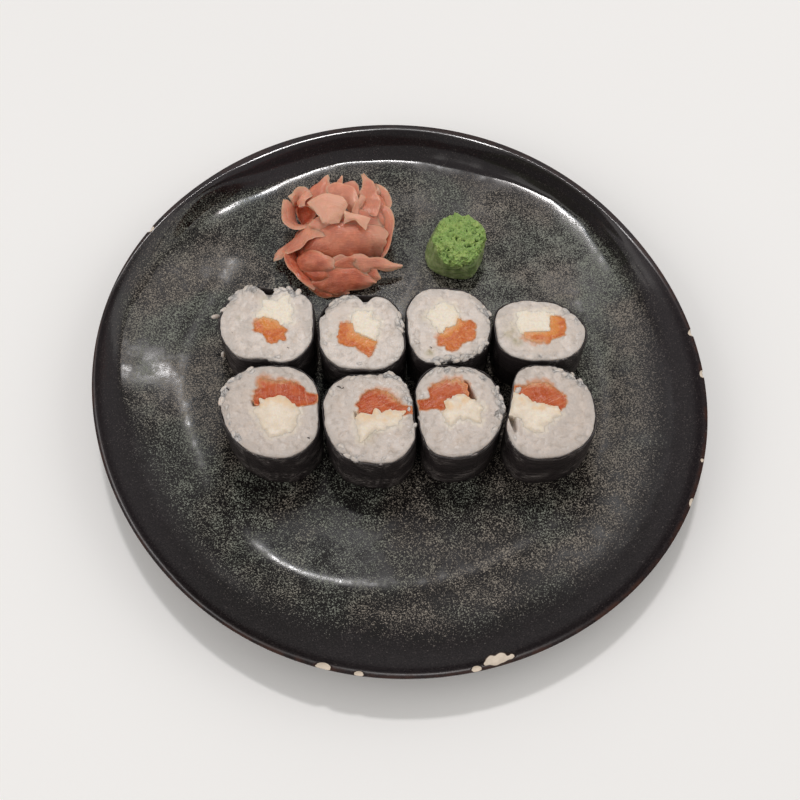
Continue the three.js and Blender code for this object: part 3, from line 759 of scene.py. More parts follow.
# one piece's rice: shares of the radius out over the cut face, round its edge, down the side and back;
# the edge is lumpy by clouds, and the face has its grains and sinks under the fillings
def riceSkin(roll, seed):
    draw = np.random.default_rng(seed)
    rows = [(share, 0) for share in np.linspace(0, 0.955, 44)] + maki["riceEdge"]
    share, drop = np.array(rows).T[..., None]
    angle = evenHeadings(maki["columns"])
    radius = aroundTurn(roll["rice"], angle)
    edge = polar(radius, angle)
    rough = raggedness(roll, angle)
    lumps = (0.24 + 0.8 * rough) * cloud(edge, 3.2, seed) + (0.1 + 0.14 * rough) * cloud(edge, 1.5, seed + 1)
    radius = radius + ease(0.8, 1, share) * (lumps * (drop < 1) - notchDepth(roll, angle) * (drop < 6))
    flat = polar(share * radius, angle)
    relief, white = grainRelief(flat, draw)
    relief = np.where(drop < 1, relief, 0)
    strength = 0.14 + 0.12 * ease(0.5, 0.9, share) + 0.5 * rough * ease(0.6, 1, share)
    swell = 0.14 * cloud(flat, 7, seed + 2, 2) - 0.5 * rough * ease(0.86, 1, share) ** 2
    inSalmon, inCream = (depthInside(flat, roll[ring]) for ring in ("salmonRing", "creamRing"))
    sunk = maki["pocket"] * (ease(0.4, 1.2, inSalmon) + ease(0.4, 1.2, inCream))
    if "hollow" in roll:
        outline, depth = roll["hollow"]
        sunk = sunk + depth * ease(0, 1.4, depthInside(flat, closedCurve(outline)))
    face = strength * relief + swell - np.minimum(sunk, maki["deepest"])
    z = maki["height"] - drop + np.where(drop < 1, face, 0)
    broken = cloud(flat, 1.3, seed + 5, 2)
    facing = facingSoft(roll, flat)
    return skin(
        # the front rolls' rice is darkened, and its white grains dulled, as painted shade
        np.dstack([flat, z]) + onPlate(roll), white=white - 0.4 * roll["deep"], dim=roll["deep"],
        # how deep the gaps between grains lie, for painted shade in them
        crevice=-relief * ease(0.5, 0.9, share), stain=stainAt(roll, flat, seed), rimward=share,
        nearSalmon=ease(-0.5 - 2.2 * facing, 0.2, inSalmon + (0.3 + 0.6 * facing) * broken),
        nearCream=ease(-2.2, 0.2, inCream + 1.1 * broken))


# a grain: a sphere stretched to half length, width and height, thinner to its ends
def grainShape():
    across = np.linspace(0, np.pi, 6)[:, None]
    around = evenHeadings(8)
    body = [np.cos(across) + 0 * around, np.sin(across) * np.cos(around), np.sin(across) * np.sin(around)]
    return skin(np.stack(body, -1) * np.array(maki["grain"]))


# loose grains round the rim of every piece: one shape turned about Z, tipped and moved as whole arrays
def scatteredGrains():
    shape = grainShape()
    draw = np.random.default_rng(77)
    allRound, perDegree = maki["looseGrains"]
    spots = []
    for roll in rolls:
        even = draw.uniform(0, fullTurn, allRound)
        crowds = [draw.normal(mid, width / 2, int(width * perDegree)) for mid, width in roll["ragged"]]
        heading = np.concatenate([even, *(np.radians(crowd) for crowd in crowds)])
        heading = heading[notchDepth(roll, heading) < 0.8]
        count = len(heading)
        rough = raggedness(roll, heading)
        radius = aroundTurn(roll["rice"], heading) - draw.uniform(0.8, 2.8, count) + 0.6 * rough
        z = maki["height"] - draw.uniform(0.95, 1.45, count) + 0.2 * rough
        turn = heading + np.pi / 2 + draw.normal(0, 0.4, count)
        tip = draw.normal(0, 0.12, count)
        size = draw.uniform(0.85, 1.15, count)
        spots.append(np.column_stack([polar(radius, heading, z) + onPlate(roll), turn, tip, size]))
    spots = np.vstack([*spots, maki["strayGrains"]])
    x, y, z, turn, tip, size = spots.T[..., None]
    px, py, pz = shape["points"].T[:, None] * size
    px, pz = px * np.cos(tip) - pz * np.sin(tip), px * np.sin(tip) + pz * np.cos(tip)
    points = [x + px * np.cos(turn) - py * np.sin(turn), y + px * np.sin(turn) + py * np.cos(turn), z + pz]
    start = np.arange(len(spots))[:, None, None] * len(shape["points"])
    faces = [(face[None] + start).reshape(-1, face.shape[1]) for face in shape["faces"]]
    white = np.repeat(draw.random(len(spots)), len(shape["points"]))
    patterns = ("white", "crevice", "stain", "rimward", "dim", "nearSalmon", "nearCream")
    values = {**dict.fromkeys(patterns, 0 * white), "white": white, "rimward": 0 * white + 0.5}
    return {"points": np.stack(points, -1).reshape(-1, 3), "faces": faces, **values}


# an outline roughened by clouds along its spokes
def raggedRing(ring, ragged, seed):
    spoke = ring - ring.mean(0)
    jag = ragged * (cloud(ring, 2.8, seed, 2) + 0.8 * cloud(ring, 1.3, seed + 1, 2))
    return ring + spoke * (jag / np.linalg.norm(spoke, axis=1))[:, None]


# an outline drawn in where it would pass the nori
def keptIn(ring, roll):
    reach = np.linalg.norm(ring, axis=1)
    most = aroundTurn(roll["rice"], np.arctan2(ring[:, 1], ring[:, 0])) - 0.1
    return ring * np.minimum(1, most / reach)[:, None]


# a filling: shares of its outline out over the cut face, round the edge, down the side and back; the
# face is lumpy by clouds, eases down to the rice along its rim and sinks where another filling lies on it
def fillingGrid(ring, top, lumpy, seed, under=None):
    rows = [(share, 0) for share in np.linspace(0, 0.9, 24)]
    rows += [(0.94, 0), (0.97, 0.01), (0.99, 0.03), (1, 0.1), (1, 3), (0.98, top - 0.1), (0.9, top), (0, top)]
    share, drop = np.array(rows).T[..., None]
    middle = ring.mean(0)
    flat = middle + share[..., None] * (ring - middle)[None]
    face = lumpy * cloud(flat, 2.8, seed + 1, 3) + top
    face = face + (maki["height"] + 0.02 - face) * ease(1.3, 0.1, depthInside(flat, ring))
    if under is not None:
        face = face - 1.6 * ease(-0.15, 0.5, depthInside(flat, under))
    return np.dstack([flat, np.where(drop < 2, face, top) - drop])


# how far along its fibres each point is, by its distance from a far point, and where it is smeared or fades
def salmonSkin(roll, seed):
    ring = roll["salmonRing"]
    under = roll["creamRing"] if roll["deep"] > 0.5 else None
    grid = fillingGrid(ring, maki["height"] + roll["proud"][0], 0.2, seed, under)
    flat = grid[..., :2]
    fibre = np.linalg.norm(flat - roll.get("fibre", (30, -45)), axis=-1)
    rim = np.clip(depthInside(flat, ring), 0, 9)
    broken = cloud(grid, 1.3, seed + 5, 2)
    softly = ease(2.6, 0.2, rim + 0.9 * broken) * facingSoft(roll, flat)
    fade = np.maximum(softly, 0.8 * ease(0.5, -0.1, rim + 0.35 * broken))
    smear = ease(-3.0, 0.8, depthInside(flat, roll["creamRing"]))
    return skin(grid + onPlate(roll), fibre=fibre, smear=smear, fade=fade, deep=roll["deep"])


# with its distance from the rim, uneven by clouds, where the salmon tinges it, and the painted shade that
# darkens the front rolls
def creamSkin(roll, seed):
    ring = roll["creamRing"]
    under = None if roll["deep"] > 0.5 else roll["salmonRing"]
    grid = fillingGrid(ring, maki["height"] + roll["proud"][1], 0.3, seed, under)
    flat = grid[..., :2]
    rim = depthInside(flat, ring) + 0.8 * cloud(grid, 1.6, seed + 5, 2)
    tinged = ease(-2.2, 0.3, depthInside(flat, roll["salmonRing"]))
    tinged = tinged * ease(-0.6, 0.6, cloud(grid, 2, seed + 6, 2))
    return skin(grid + onPlate(roll), rim=rim, tinged=tinged, dim=roll["deep"])


# a thin sheet round the rice: in at the foot, up inside, over and down outside, wrinkled by slanting
# clouds and thicker where its free end laps over
def noriSkin(roll, seed):
    inside, thick = maki["noriInside"], maki["noriThick"]
    rows = [(inside, 0.0), (inside, 0.5), (inside, 0.97), (inside + 0.05, 1.0), (inside + thick - 0.05, 1.0)]
    rows += [(inside + thick, 0.985 - 0.985 * drop) for drop in np.linspace(0, 1, maki["noriRows"])]
    offset, level = np.array(rows).T[..., None]
    angle = evenHeadings(maki["noriColumns"])
    base = aroundTurn(roll["rice"], angle)
    low = -gap
    high = maki["height"] - maki["noriTop"] + 0.28 * cloud(polar(base, angle), 3.5, seed)
    ring = polar(base, angle, low + (high - low) * level)
    x, y, z = np.moveaxis(ring, -1, 0)
    slanted = np.stack([x + 0.5 * z, y, 2.6 * z + 0.9 * x], -1)
    wrinkle = 0.16 * cloud(slanted, 3.4, seed + 1, 2) + 0.1 * cloud(slanted * [1, 1, 2], 2.2, seed + 3)
    wrinkle = wrinkle + 0.22 * cloud(ring, 9, seed + 2)
    past = (np.degrees(angle) - roll["lap"]) % 360
    lap = maki["noriLap"] * (past < maki["lapWidth"])
    outer = wrinkle + 0.12 * np.sin(np.pi * level) + lap
    radius = base + offset + np.where(offset > inside + thick / 2, outer, 0.3 * wrinkle)
    return tyre(polar(radius, angle, z) + onPlate(roll), around=base * angle)


# milky grains over clouds, greyer to the rim, darker in the crevices between grains and in the front rolls as
# painted shade, tinged beside the fillings
def riceFinish():
    material, place = moistMaterial("cutRice", 0.7, (1.0, 0.9, 0.8), 2.2, 1.4)
    grain = clouds(place, 1.3, 3, 0.6)
    broad = clouds(place, 6, 2)
    white = attribute(material, "white")
    milk = plus(between(grain, 0.3, 0.7, -0.3, 0.3), between(white, 0, 1, 0.25, 0.75))
    colour = mixed(between(milk, 0.0, 1.1), tone(208, 199, 191), tone(234, 223, 214))
    colour = mixed(between(broad, 0.45, 0.7, 0, 0.6), colour, tone(220, 205, 191))
    rimward = plus(attribute(material, "rimward"), between(broad, 0.3, 0.7, -0.12, 0.12))
    colour = mixed(between(rimward, 0.78, 1.0, 0, 0.45), colour, tone(192, 189, 186))
    # painted shade: darker in the crevices between grains
    colour = mixed(between(attribute(material, "crevice"), 0.3, 0.75, 0, 0.3), colour, tone(176, 168, 158))
    colour = mixed(times(attribute(material, "nearCream"), 0.85), colour, tone(240, 229, 212))
    colour = mixed(times(attribute(material, "nearSalmon"), 0.8), colour, tone(216, 140, 84))
    # painted shade: the rice darker, most in the front rolls
    colour = mixed(between(attribute(material, "dim"), 0, 1, 0.1, 0.2), colour, tone(140, 114, 94))
    stain = mixed(between(grain, 0.3, 0.7), tone(160, 152, 108), tone(182, 168, 130))
    colour = mixed(attribute(material, "stain"), colour, stain)
    return wire(
        material, Base_Color=colour, Roughness=between(grain, 0.3, 0.7, 0.26, 0.46), Normal=bump(grain, 0.12))


# crumbly and yellowish in clouds, darker in the front rolls as painted shade, greyer along the rim, orange by
# the salmon
def creamFinish():
    material, place = moistMaterial("creamCheese", 0.35, (1.0, 0.8, 0.55), 1.5, 1.45)
    crumb = clouds(place, 1.1, 4, 0.65)
    broad = clouds(place, 5, 2)
    colour = mixed(between(crumb, 0.3, 0.65), tone(238, 225, 206), tone(248, 238, 222))
    colour = mixed(between(broad, 0.55, 0.75, 0, 0.5), colour, tone(236, 222, 196))
    dim = attribute(material, "dim")
    # painted shade: the front rolls' cream darker in clouds and towards its rim
    colour = mixed(times(between(broad, 0.3, 0.65, 0.15, 0.6), dim), colour, tone(224, 206, 184))
    rim = attribute(material, "rim")
    colour = mixed(between(rim, -0.5, 0.9, 0.7, 0), colour, tone(232, 221, 206))
    colour = mixed(times(between(rim, 0, 2.4, 0.7, 0), dim), colour, tone(214, 198, 178))
    colour = mixed(times(attribute(material, "tinged"), 0.5), colour, tone(238, 196, 142))
    return wire(
        material, Base_Color=colour, Roughness=between(crumb, 0.3, 0.7, 0.4, 0.6), Normal=bump(crumb, 0.16))


# orange to red, with fine strands and pale lines across its fibres, paler where smeared and at its soft side
def salmonFinish():
    material, place = moistMaterial("rawSalmon", 0.5, (1.0, 0.35, 0.15), 2.0, 1.42)
    soft = clouds(place, 3.5, 3, 0.6)
    fleck = clouds(place, 1.2, 3, 0.6)
    deep = attribute(material, "deep")
    wobble = plus(attribute(material, "fibre"), times(soft, 2.2))
    coarse = strands(wobble, 0.9, Detail=3.0, Roughness=0.7)
    fine = strands(wobble, 3.0, Detail=2.0)
    orange = mixed(between(fleck, 0.3, 0.7), tone(198, 98, 36), tone(218, 128, 54))
    red = mixed(between(soft, 0.3, 0.7), tone(178, 68, 20), tone(198, 92, 34))
    colour = mixed(deep, orange, red)
    colour = mixed(between(fine, 0.45, 0.75, 0, 0.2), colour, tone(214, 132, 84))
    line = times(between(coarse, 0.62, 0.68), between(deep, 0, 1, 0.1, 0.5))
    colour = mixed(line, colour, tone(232, 178, 142))
    smear = times(between(attribute(material, "smear"), 0.3, 1.0, 0, 0.6), between(deep, 0, 0.8, 1, 0))
    colour = mixed(smear, colour, tone(232, 160, 84))
    colour = mixed(times(attribute(material, "fade"), 0.75), colour, tone(228, 176, 130))
    return wire(
        material, Base_Color=colour, Roughness=between(soft, 0.3, 0.7, 0.22, 0.38),
        Normal=bump(plus(fine, fleck), 0.12))


# black-brown silk drawn out slanting along the wind of the sheet, with painted glints: pale slanting streaks
# in cloudy patches
def noriFinish():
    material, place = newMaterial("driedNori", IOR=1.45)
    split = addNode("SeparateXYZ", {0: place})
    wind = sheetPlace(times(attribute(material, "around"), mm), split.outputs[2])
    silk = clouds(turnedPlace(wind, (0, 0, 0.35), (1, 6, 1)), 5, 4, 0.65, 0.4)
    scratch = clouds(turnedPlace(wind, (0, 0, 0.5), (1, 9, 1)), 3, 2, 0.6, 0.3)
    worn = clouds(wind, 9, 2)
    pores = clouds(wind, 0.5, 3, 0.7)
    colour = mixed(between(silk, 0.35, 0.7), tone(38, 33, 34), tone(62, 55, 55))
    # painted highlight: pale slanting streaks in cloudy patches stand for glints on the sheet's wrinkles
    glint = times(between(scratch, 0.53, 0.62), between(worn, 0.48, 0.62, 0, 1))
    colour = mixed(glint, colour, tone(150, 142, 138))
    return wire(
        material, Base_Color=colour, Roughness=between(silk, 0.35, 0.7, 0.5, 0.26),
        Normal=bump(plus(silk, times(pores, 0.25)), 0.25))


for number, roll in enumerate(rolls, 1):
    roll["salmonRing"] = keptIn(raggedRing(closedCurve(roll["salmon"]), 0.75, 100 * number + 60), roll)
    roll["creamRing"] = keptIn(raggedRing(closedCurve(roll["cream"]), 0.9, 100 * number + 70), roll)

riceLook, creamLook, salmonLook, noriLook = riceFinish(), creamFinish(), salmonFinish(), noriFinish()
for number, roll in enumerate(rolls, 1):
    seed = 100 * number
    addPiece(f"cutRice{number}", riceSkin(roll, seed), riceLook, "rice", [f"rice_{number}"])
    addPiece(f"creamCheese{number}", creamSkin(roll, seed + 20), creamLook, "cream", [f"cream_{number}"])
    addPiece(f"salmonStrip{number}", salmonSkin(roll, seed + 30), salmonLook, "salmon", [f"salmon_{number}"])
    addPiece(f"noriWrap{number}", noriSkin(roll, seed + 40), noriLook, "nori", [f"nori_{number}"])
addPiece("rimGrains", scatteredGrains(), riceLook, "rice")

# torn bits of nori lying on the rice: start, end, how far they bend aside, half width
flecks = [
    ((-71.4, -18.0), (-69.3, -20.0), 0.3, 0.3), ((-69.5, -20.2), (-67.0, -20.1), -0.3, 0.26),
    ((-67.0, -25.6), (-66.6, -28.9), 0.4, 0.12), ((-68.6, -23.0), (-68.2, -23.9), 0, 0.14),
    ((-36.4, -41.1), (-35.3, -41.6), 0.2, 0.34), ((-25.4, -17.6), (-23.2, -18.7), 0.4, 0.22),
    ((-23.2, -18.8), (-21.9, -17.7), -0.2, 0.2), ((-21.0, -19.6), (-20.0, -20.1), 0.1, 0.22),
    ((-46.8, 1.0), (-45.6, 0.4), 0.1, 0.14), ((-70.6, 8.6), (-69.9, 7.8), 0, 0.12),
    ((13.4, 1.2), (14.6, 0.4), 0.2, 0.2), ((-27.2, -36.2), (-26.4, -37.3), 0, 0.13),
]


# each bit a bent strip, half as thick as wide, its width the root of the sine along it
def fleckShape(start, end, bend, half):
    along = np.linspace(0, 1, 9)[:, None]
    around = evenHeadings(8)
    way = np.subtract(end, start)
    side = np.array([-way[1], way[0]]) / np.linalg.norm(way)
    middle = np.array(start) + along[..., None] * way + (bend * np.sin(np.pi * along))[..., None] * side
    wide = half * np.sqrt(np.sin(np.pi * along))
    flat = middle + (wide * np.cos(around))[..., None] * side
    height = floorHeight + gap + maki["height"] - 0.05 + 0.5 * wide * np.sin(around)
    return skin(np.dstack([flat, height])[:, ::-1], around=along * np.linalg.norm(way))


addPiece("noriFlecks", joined([fleckShape(*spec) for spec in flecks]), noriLook, "nori")
print("maki done")


# the pickled ginger
ginger = {
    "middle": (-29, 69),
    "thick": 0.7,
    "core": (19, 18, 13.5),
    "lowest": 0.05,                # over the floor
    # how many points a slice has along its length and across its face
    "along": 40,
    "across": 20,
    # run of the middle line, width at start, middle and end, lean of the face, arch, paleness
    "slices": [
        ([(-6, 2, 16), (-16, -3, 13), (-28.5, -7.5, 4)], (14, 10, 6.5), (10, 25), 0.5, 0.4),
        ([(-21.5, 18, 13), (-20, 8.5, 9.5), (-10, 6, 12)], (7, 11, 8), (-50, -40), 1, 0.55),
        ([(-21.5, 18, 12.5), (-16.5, 21.5, 12.5), (-10, 16, 13)], (5, 8, 6), (60, 65), 0.8, 0.8),
        ([(-19.5, 14, 8), (-15, 15, 7), (-9, 13, 10)], (9, 12, 9), (10, 10), -1, 0.1),
        ([(-13.5, 15, 14), (-9.5, 21.5, 16.5), (-4.2, 30, 16.5)], (13, 11, 2), (-12, -28), 1.2, 0.2),
        ([(-17, 14, 14), (-15.5, 19, 16), (-12.5, 23.5, 15)], (5, 7, 3), (-30, -40), 0.8, 0.45),
        ([(0, 17, 16), (1, 23, 18), (2.3, 29.5, 17.5)], (6, 4.5, 1), (0, -20), 0.3, 0.2),
        ([(-2, 11, 18), (4, 18, 20), (8, 25, 18.5)], (13, 14, 7), (-5, -12), 1.2, 0.15),
        ([(15, 6, 18.5), (15.5, 18, 18.5), (12.6, 30.5, 17)], (11, 8, 1), (12, -12), -0.8, 0.3),
        ([(18, 3, 15), (20.5, 12, 17.5), (17, 22, 17)], (10, 8, 2), (22, 8), 1, 0.2),
        ([(16.5, 21.5, 14.5), (22, 17.5, 15), (21.5, 10, 11)], (8, 10, 8), (50, 68), 1.5, 0.4),
        ([(16, 22, 16), (19, 20.5, 17.8), (22.5, 17, 15.5)], (4, 5, 3), (8, 30), 0.8, 0.55),
        ([(-2, 16.5, 19.5), (4, 15.5, 22), (9.5, 8, 21.5)], (8, 10, 6), (20, 32), 1.2, 0.35),
        ([(9.5, 4, 20), (12, 9, 22), (13.5, 16, 19)], (3, 5, 3), (58, 74), 0.5, 0.5),
        ([(-7.8, 4.4, 21.6), (-2.4, 5.6, 23.4), (4.2, 3.4, 22.8)], (13, 14, 9), (18, 24), 0.4, 0.95),
        ([(5, 1.6, 22.9), (10, 1.4, 22.6), (15.5, -0.4, 21)], (5, 4, 5), (20, 8), 0.3, 0.8),
        ([(-16, -6, 8), (2, -5.5, 17.5), (24, -3, 13)], (15, 25, 16), (24, 30), 6.5, 0.2),
        ([(-11, 1.5, 17), (-4, 0.6, 18.9), (2.5, 1.2, 18.4)], (5, 8, 4), (22, 36), 1.6, 0.4),
        ([(3, 2, 19), (13, 1.5, 17.8), (23, 4.5, 13.5)], (8, 12, 8), (28, 36), 2, 0.2),
        ([(19, 9.5, 15), (23, 2, 12), (20, -9.5, 3.5)], (9, 11, 5), (36, 60), 1, 0.3),
        ([(-18, -9.5, 6), (-10, -14.5, 10), (0.5, -17.5, 9)], (6, 12, 7), (32, 45), 2, 0.3),
        ([(-14, -15, 5), (-7, -19.5, 7.5), (-1, -21.5, 5)], (5, 8, 4), (40, 45), 1.2, 0.15),
        ([(-1, -15.5, 8.5), (13, -15, 10), (30.5, -13.6, 6)], (6, 8, 2), (46, 20), 0.8, 0.5),
        ([(9, -15.5, 8.5), (16, -17, 7.5), (20.5, -19.5, 5)], (5, 6, 2.5), (42, 34), 0.5, 0.35),
        ([(-3, -18, 7.5), (7, -17, 9.5), (15, -20.5, 6)], (5, 9, 3), (55, 40), 1.2, 0.3),
        ([(-9, -24, 2.6), (4, -21.8, 7.2), (19.5, -21.8, 4)], (7, 13, 1.5), (36, 25), 1.4, 0.25),
        ([(-20, -6, 8), (-17, -14, 5), (-8, -23.5, 2)], (7, 10, 6), (-45, -30), 1, 0.2),
        ([(-12, -20, 2), (-3, -24.6, 2.8), (6, -25.8, 1.8)], (5, 7, 3), (25, 30), 0.8, 0.2),
    ],
    # folds laid round the core: how many, at which height, how long and wide
    "folds": [(9, 3.5, 17, 9), (8, 8.5, 15, 9), (6, 13, 12, 8)],
}


# arrows of length one along the last axis
def unit(ways):
    return ways / np.linalg.norm(ways, axis=-1, keepdims=True)


# a thin slice: a quadratic middle line, with the face leaning as it goes, arched across and ruffled by
# clouds, as a loop over the upper side and back under; thinner and paler to its rims, its outline torn;
# paler to its end, and paler higher up the heap as painted light
def sliceSkin(run, width, lean, arch, pale, seed):
    draw = np.random.default_rng(seed)
    along = np.r_[0, 0.5 - 0.5 * np.cos(np.linspace(0, np.pi, ginger["along"])), 1][:, None]
    half = 0.5 * np.sin(np.linspace(-np.pi / 2, np.pi / 2, ginger["across"]))
    across = np.r_[half, half[-2:0:-1]][None]
    side = np.r_[0, np.ones(len(half) - 2), 0, -np.ones(len(half) - 2)][None]
    step = 1e-3
    middle = throughThree(run, along)
    way = unit(throughThree(run, along + step) - throughThree(run, along - step))
    level = unit(np.cross([0.0, 0.0, 1.0], way))
    tilt = np.radians(lean[0] + (lean[1] - lean[0]) * along)[..., None]
    flat = level * np.cos(tilt) + np.cross(way, level) * np.sin(tilt)
    face = np.cross(way, flat)
    wide = np.maximum(throughThree(width, along), 0.5)
    length = np.linalg.norm(np.subtract(run[1], run[0])) + np.linalg.norm(np.subtract(run[2], run[1]))
    u, v = along * length, across * wide
    knots = np.linspace(0, length, 3 + int(length / 4))
    jag = [np.interp(u[:, 0], knots, draw.uniform(-1, 1, len(knots)))[:, None] for _ in (0, 1)]
    torn = np.where(across > 0, jag[0], jag[1]) * np.sign(across) * ease(0.1, 0.5, np.abs(across))
    v = v + 1.1 * torn * np.minimum(1, wide / 5)
    sheet = np.stack([u + 0 * v, v, 0 * v], -1) + 50.0 * seed
    rim = np.minimum((0.5 - np.abs(across)) * wide, np.minimum(u, length - u))
    ruffle = 0.8 * cloud(sheet, 5.5, seed, 2) * ease(6, 0, rim) + 0.4 * cloud(sheet, 9, seed + 1)
    ruffle = ruffle + 0.26 * cloud(sheet * [0.45, 1, 1], 2.2, seed + 3, 2)
    thin = ginger["thick"] / 2 * (0.25 + 0.75 * ease(0, 1.8, rim))
    lift = side * thin - arch * 4 * across**2 + ruffle + draw.uniform(-0.3, 0.3)
    ends = 0.9 * cloud(sheet * [0, 1, 0], 2.5, seed + 7, 2) * (ease(0.8, 1, along) - ease(0.2, 0, along))
    points = middle + flat * v[..., None] + face * lift[..., None] + way * ends[..., None]
    # paler to the slice's end, and paler higher up the heap as painted light
    pale = pale + 0.35 * ease(0.7, 1, along) + 0.2 * ease(10, 17, points[..., 2])
    return skin(points, rim=rim, along=u, across=v, pale=pale)


# the heap's inside: a sphere stretched and made lumpy by clouds
def gingerCore():
    tip = np.linspace(0, np.pi, 40)[:, None]
    ball = polar(np.sin(tip), evenHeadings(60), np.cos(tip))
    points = ball * np.array(ginger["core"]) * (1 + 0.09 * cloud(ball, 0.5, 9, 2)[..., None])
    return skin(points, rim=3, along=points[..., 0], across=points[..., 1], pale=0)


# slices laid round the core in rings, each a chord over the stretched sphere leaning as its side does
def ringedSlices():
    draw = np.random.default_rng(88)
    wideX, wideY, tall = ginger["core"]
    slices = []
    for count, height, long, wide in ginger["folds"]:
        for turn in np.arange(count) / count * fullTurn + draw.uniform(0, 1) + draw.normal(0, 0.12, count):
            level = height + draw.uniform(-1, 1)
            reach = np.sqrt(1 - min(level / tall, 0.97) ** 2)
            bend = long / 2 / (wideX * reach)
            spots = [turn - bend, turn, turn + bend]
            swell = [1.0, 1.07, 1.0] + draw.uniform(-0.02, 0.06, 3)
            rise = draw.uniform(-2.0, 2.0)
            run = [
                (wideX * reach * far * np.cos(a), wideY * reach * far * np.sin(a), max(level + lift, 1.6))
                for a, far, lift in zip(spots, swell, (-rise, 0, rise))]
            lean = np.degrees(np.arctan2(reach * tall, level)) + draw.normal(0, 8, 2)
            width = (0.6 * wide, wide, 0.4 * wide)
            slices.append((run, width, tuple(lean), draw.uniform(0.4, 1.6), draw.uniform(0.05, 0.45)))
    return slices


def gingerShape():
    slices = [sliceSkin(*spec, 200 + 10 * i) for i, spec in enumerate(ginger["slices"] + ringedSlices())]
    heap = joined([gingerCore(), *slices])
    heap["points"][:, 2] = np.maximum(heap["points"][:, 2], ginger["lowest"])
    heap["points"] = heap["points"] + [*ginger["middle"], floorHeight]
    return heap


# deep and light pink in clouds, with pale fibres drawn out along each slice, paler at its rims; paler on pale
# slices and, as painted light, higher up the heap
def gingerFinish():
    material, place = moistMaterial("pickledGinger", 0.55, (1.0, 0.35, 0.22), 1.6, 1.45)
    soft = clouds(place, 5, 3, 0.6)
    lay = sheetPlace(times(attribute(material, "along"), mm), times(attribute(material, "across"), 6 * mm))
    fibre = clouds(lay, 3, 3, 0.6)
    colour = mixed(between(soft, 0.3, 0.7), tone(174, 68, 40), tone(214, 110, 72))
    colour = mixed(between(fibre, 0.45, 0.75, 0, 0.45), colour, tone(234, 150, 118))
    # paler for pale slices, and as painted light higher up the heap
    colour = mixed(between(attribute(material, "pale"), 0, 1, 0, 0.9), colour, tone(238, 182, 156))
    colour = mixed(between(attribute(material, "rim"), 0, 1.1, 0.55, 0), colour, tone(244, 178, 148))
    return wire(
        material, Base_Color=colour, Roughness=between(soft, 0.3, 0.7, 0.14, 0.3),
        Normal=bump(plus(fibre, soft), 0.25))


addPiece("pickledGinger", gingerShape(), gingerFinish(), "ginger", ["ginger"])
print("ginger done")


# the wasabi
wasabi = {
    "middle": (28, 64),
    "height": 18.0,
    # radius at every thirtieth degree, round the foot and round the top
    "foot": [12.0, 12.6, 13.2, 13.8, 15.0, 15.4, 15.4, 14.6, 12.8, 12.8, 13.4, 12.2],
    "top": [13.2, 13.2, 12.6, 11.8, 12.6, 11.2, 10.6, 11.4, 13.8, 13.4, 12.6, 11.4],
    "fall": 0.13,                  # of the top, towards the front
    "rows": 170,
    "columns": 260,
    # share of the radius and height: top, edge, side, foot
    "profile": [
        (0, 18), (0.2, 18), (0.4, 17.9), (0.6, 17.7), (0.76, 17.3), (0.88, 16.6), (0.96, 15.4), (1.0, 13.5),
        (1.0, 10), (1.0, 6), (1.0, 2.6), (0.97, 0), (0, 0),
    ],
    "crumbsFrom": (12.5, 15.5),    # heights between which the smooth side turns into crumbs
    "fold": (1.3, 12.2, 0.9),      # how deep, at which height and how wide a fold at the right is
    "peak": (-1, 9.5, 1.3),        # a crumb that stands up at the back: place and height
}


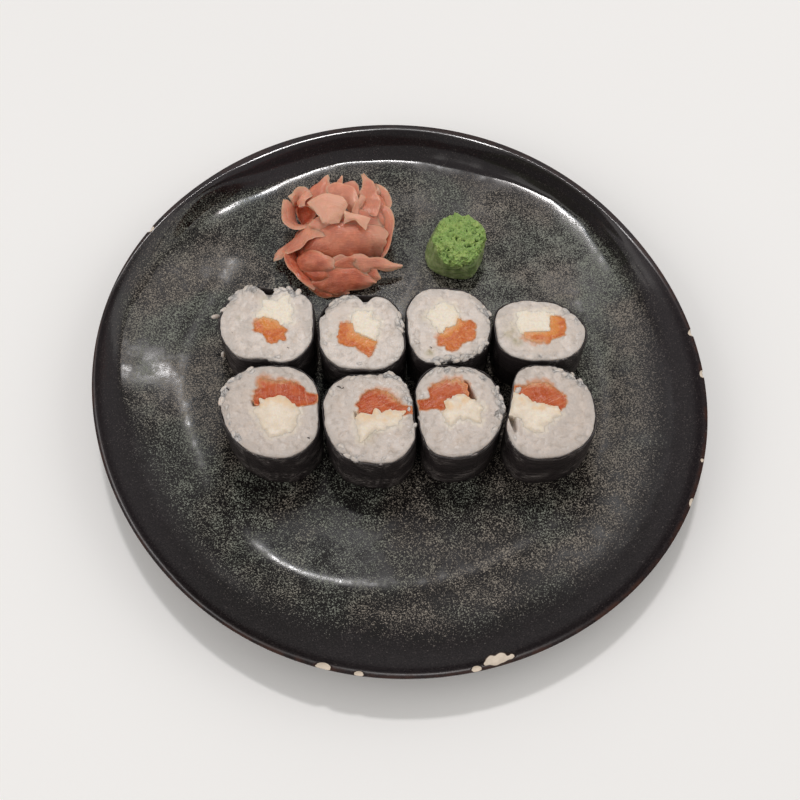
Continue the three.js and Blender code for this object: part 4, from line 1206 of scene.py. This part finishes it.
# turned profile times a radius that changes from foot to top at each heading, the top falling to the
# front; broken by clouds into crumbs and pits above, only softly creased and folded down the side
def wasabiSkin():
    line = cutCorners(np.array(wasabi["profile"]))
    even, given = (np.linspace(0, 1, count) for count in (wasabi["rows"], len(line)))
    share, height = (np.interp(even, given, part)[:, None] for part in line.T)
    angle = evenHeadings(wasabi["columns"])
    level = height / wasabi["height"]
    foot, top = (aroundTurn(wasabi[key], angle) for key in ("foot", "top"))
    radius = share * (foot * (1 - level) + top * level)
    x, y = radius * np.cos(angle), radius * np.sin(angle)
    points = np.stack([x, y, height + y * wasabi["fall"] * level], -1)
    torn = 1.2 * cloud(points * [1, 1, 0], 5, 60)
    crumbly = ease(*wasabi["crumbsFrom"], height + 1.6 * torn - 0.12 * y)
    lump = 0.7 * cloud(points, 4.5, 64, 2)
    crumb = 0.8 * cloud(points, 1.3, 61, 3)
    pits = -1.2 * ease(0.45, 0.85, cloud(points, 1.2, 62, 2))
    crease = 0.8 * cloud(points * [1, 1, 0.35], 5, 63, 2) + 0.25 * cloud(points, 1.6, 65, 2)
    deep, foldHeight, foldWidth = wasabi["fold"]
    fold = -deep * bell(height - foldHeight - 0.25 * torn, foldWidth) * ease(6, 10, x - 0.6 * y - 2)
    atX, atY, rise = wasabi["peak"]
    peak = rise * np.exp(-((x - atX) ** 2 + (y - atY) ** 2) / 3) * crumbly
    push = crumbly * (crumb + 0.6 * lump) + (1 - crumbly) * (crease + fold) * ease(0, 2, height)
    push = push * ease(0, 0.5, share) * ease(0.3, 0.9, share)
    points = points + polar(push, angle, crumbly * (crumb + pits + lump) + peak)
    points[..., 2] = np.maximum(points[..., 2], 0)
    points = points + [*wasabi["middle"], floorHeight]
    # how deep each pit lies, for painted shade in it
    return skin(points, crumbly=crumbly, pit=crumbly * np.clip(-pits - 1.4 * crumb, 0, 2))


# two greens in clouds on the crumbs, a darker and greyer one down the smooth side, darkened in the pits as
# painted shade
def wasabiFinish():
    material, place = moistMaterial("wasabiPaste", 0.25, (0.6, 1.0, 0.3), 1.5, 1.4)
    fine = clouds(place, 0.8, 4, 0.7)
    broad = clouds(place, 4, 2)
    green = mixed(between(fine, 0.3, 0.7), tone(126, 158, 86), tone(164, 190, 114))
    yellow = mixed(between(fine, 0.3, 0.7), tone(136, 164, 88), tone(178, 198, 120))
    top = mixed(between(broad, 0.42, 0.62), green, yellow)
    side = mixed(between(broad, 0.3, 0.7), tone(120, 140, 84), tone(162, 176, 122))
    crumbly = attribute(material, "crumbly")
    colour = mixed(crumbly, side, top)
    # painted shade: darker green in the pits
    colour = mixed(between(attribute(material, "pit"), 0.4, 1.2, 0, 0.8), colour, tone(62, 94, 36))
    return wire(
        material, Base_Color=colour, Roughness=between(crumbly, 0, 1, 0.42, 0.7), Normal=bump(fine, 0.25))


addPiece("wasabiLump", wasabiSkin(), wasabiFinish(), "wasabi", ["wasabi"])
print("wasabi done")
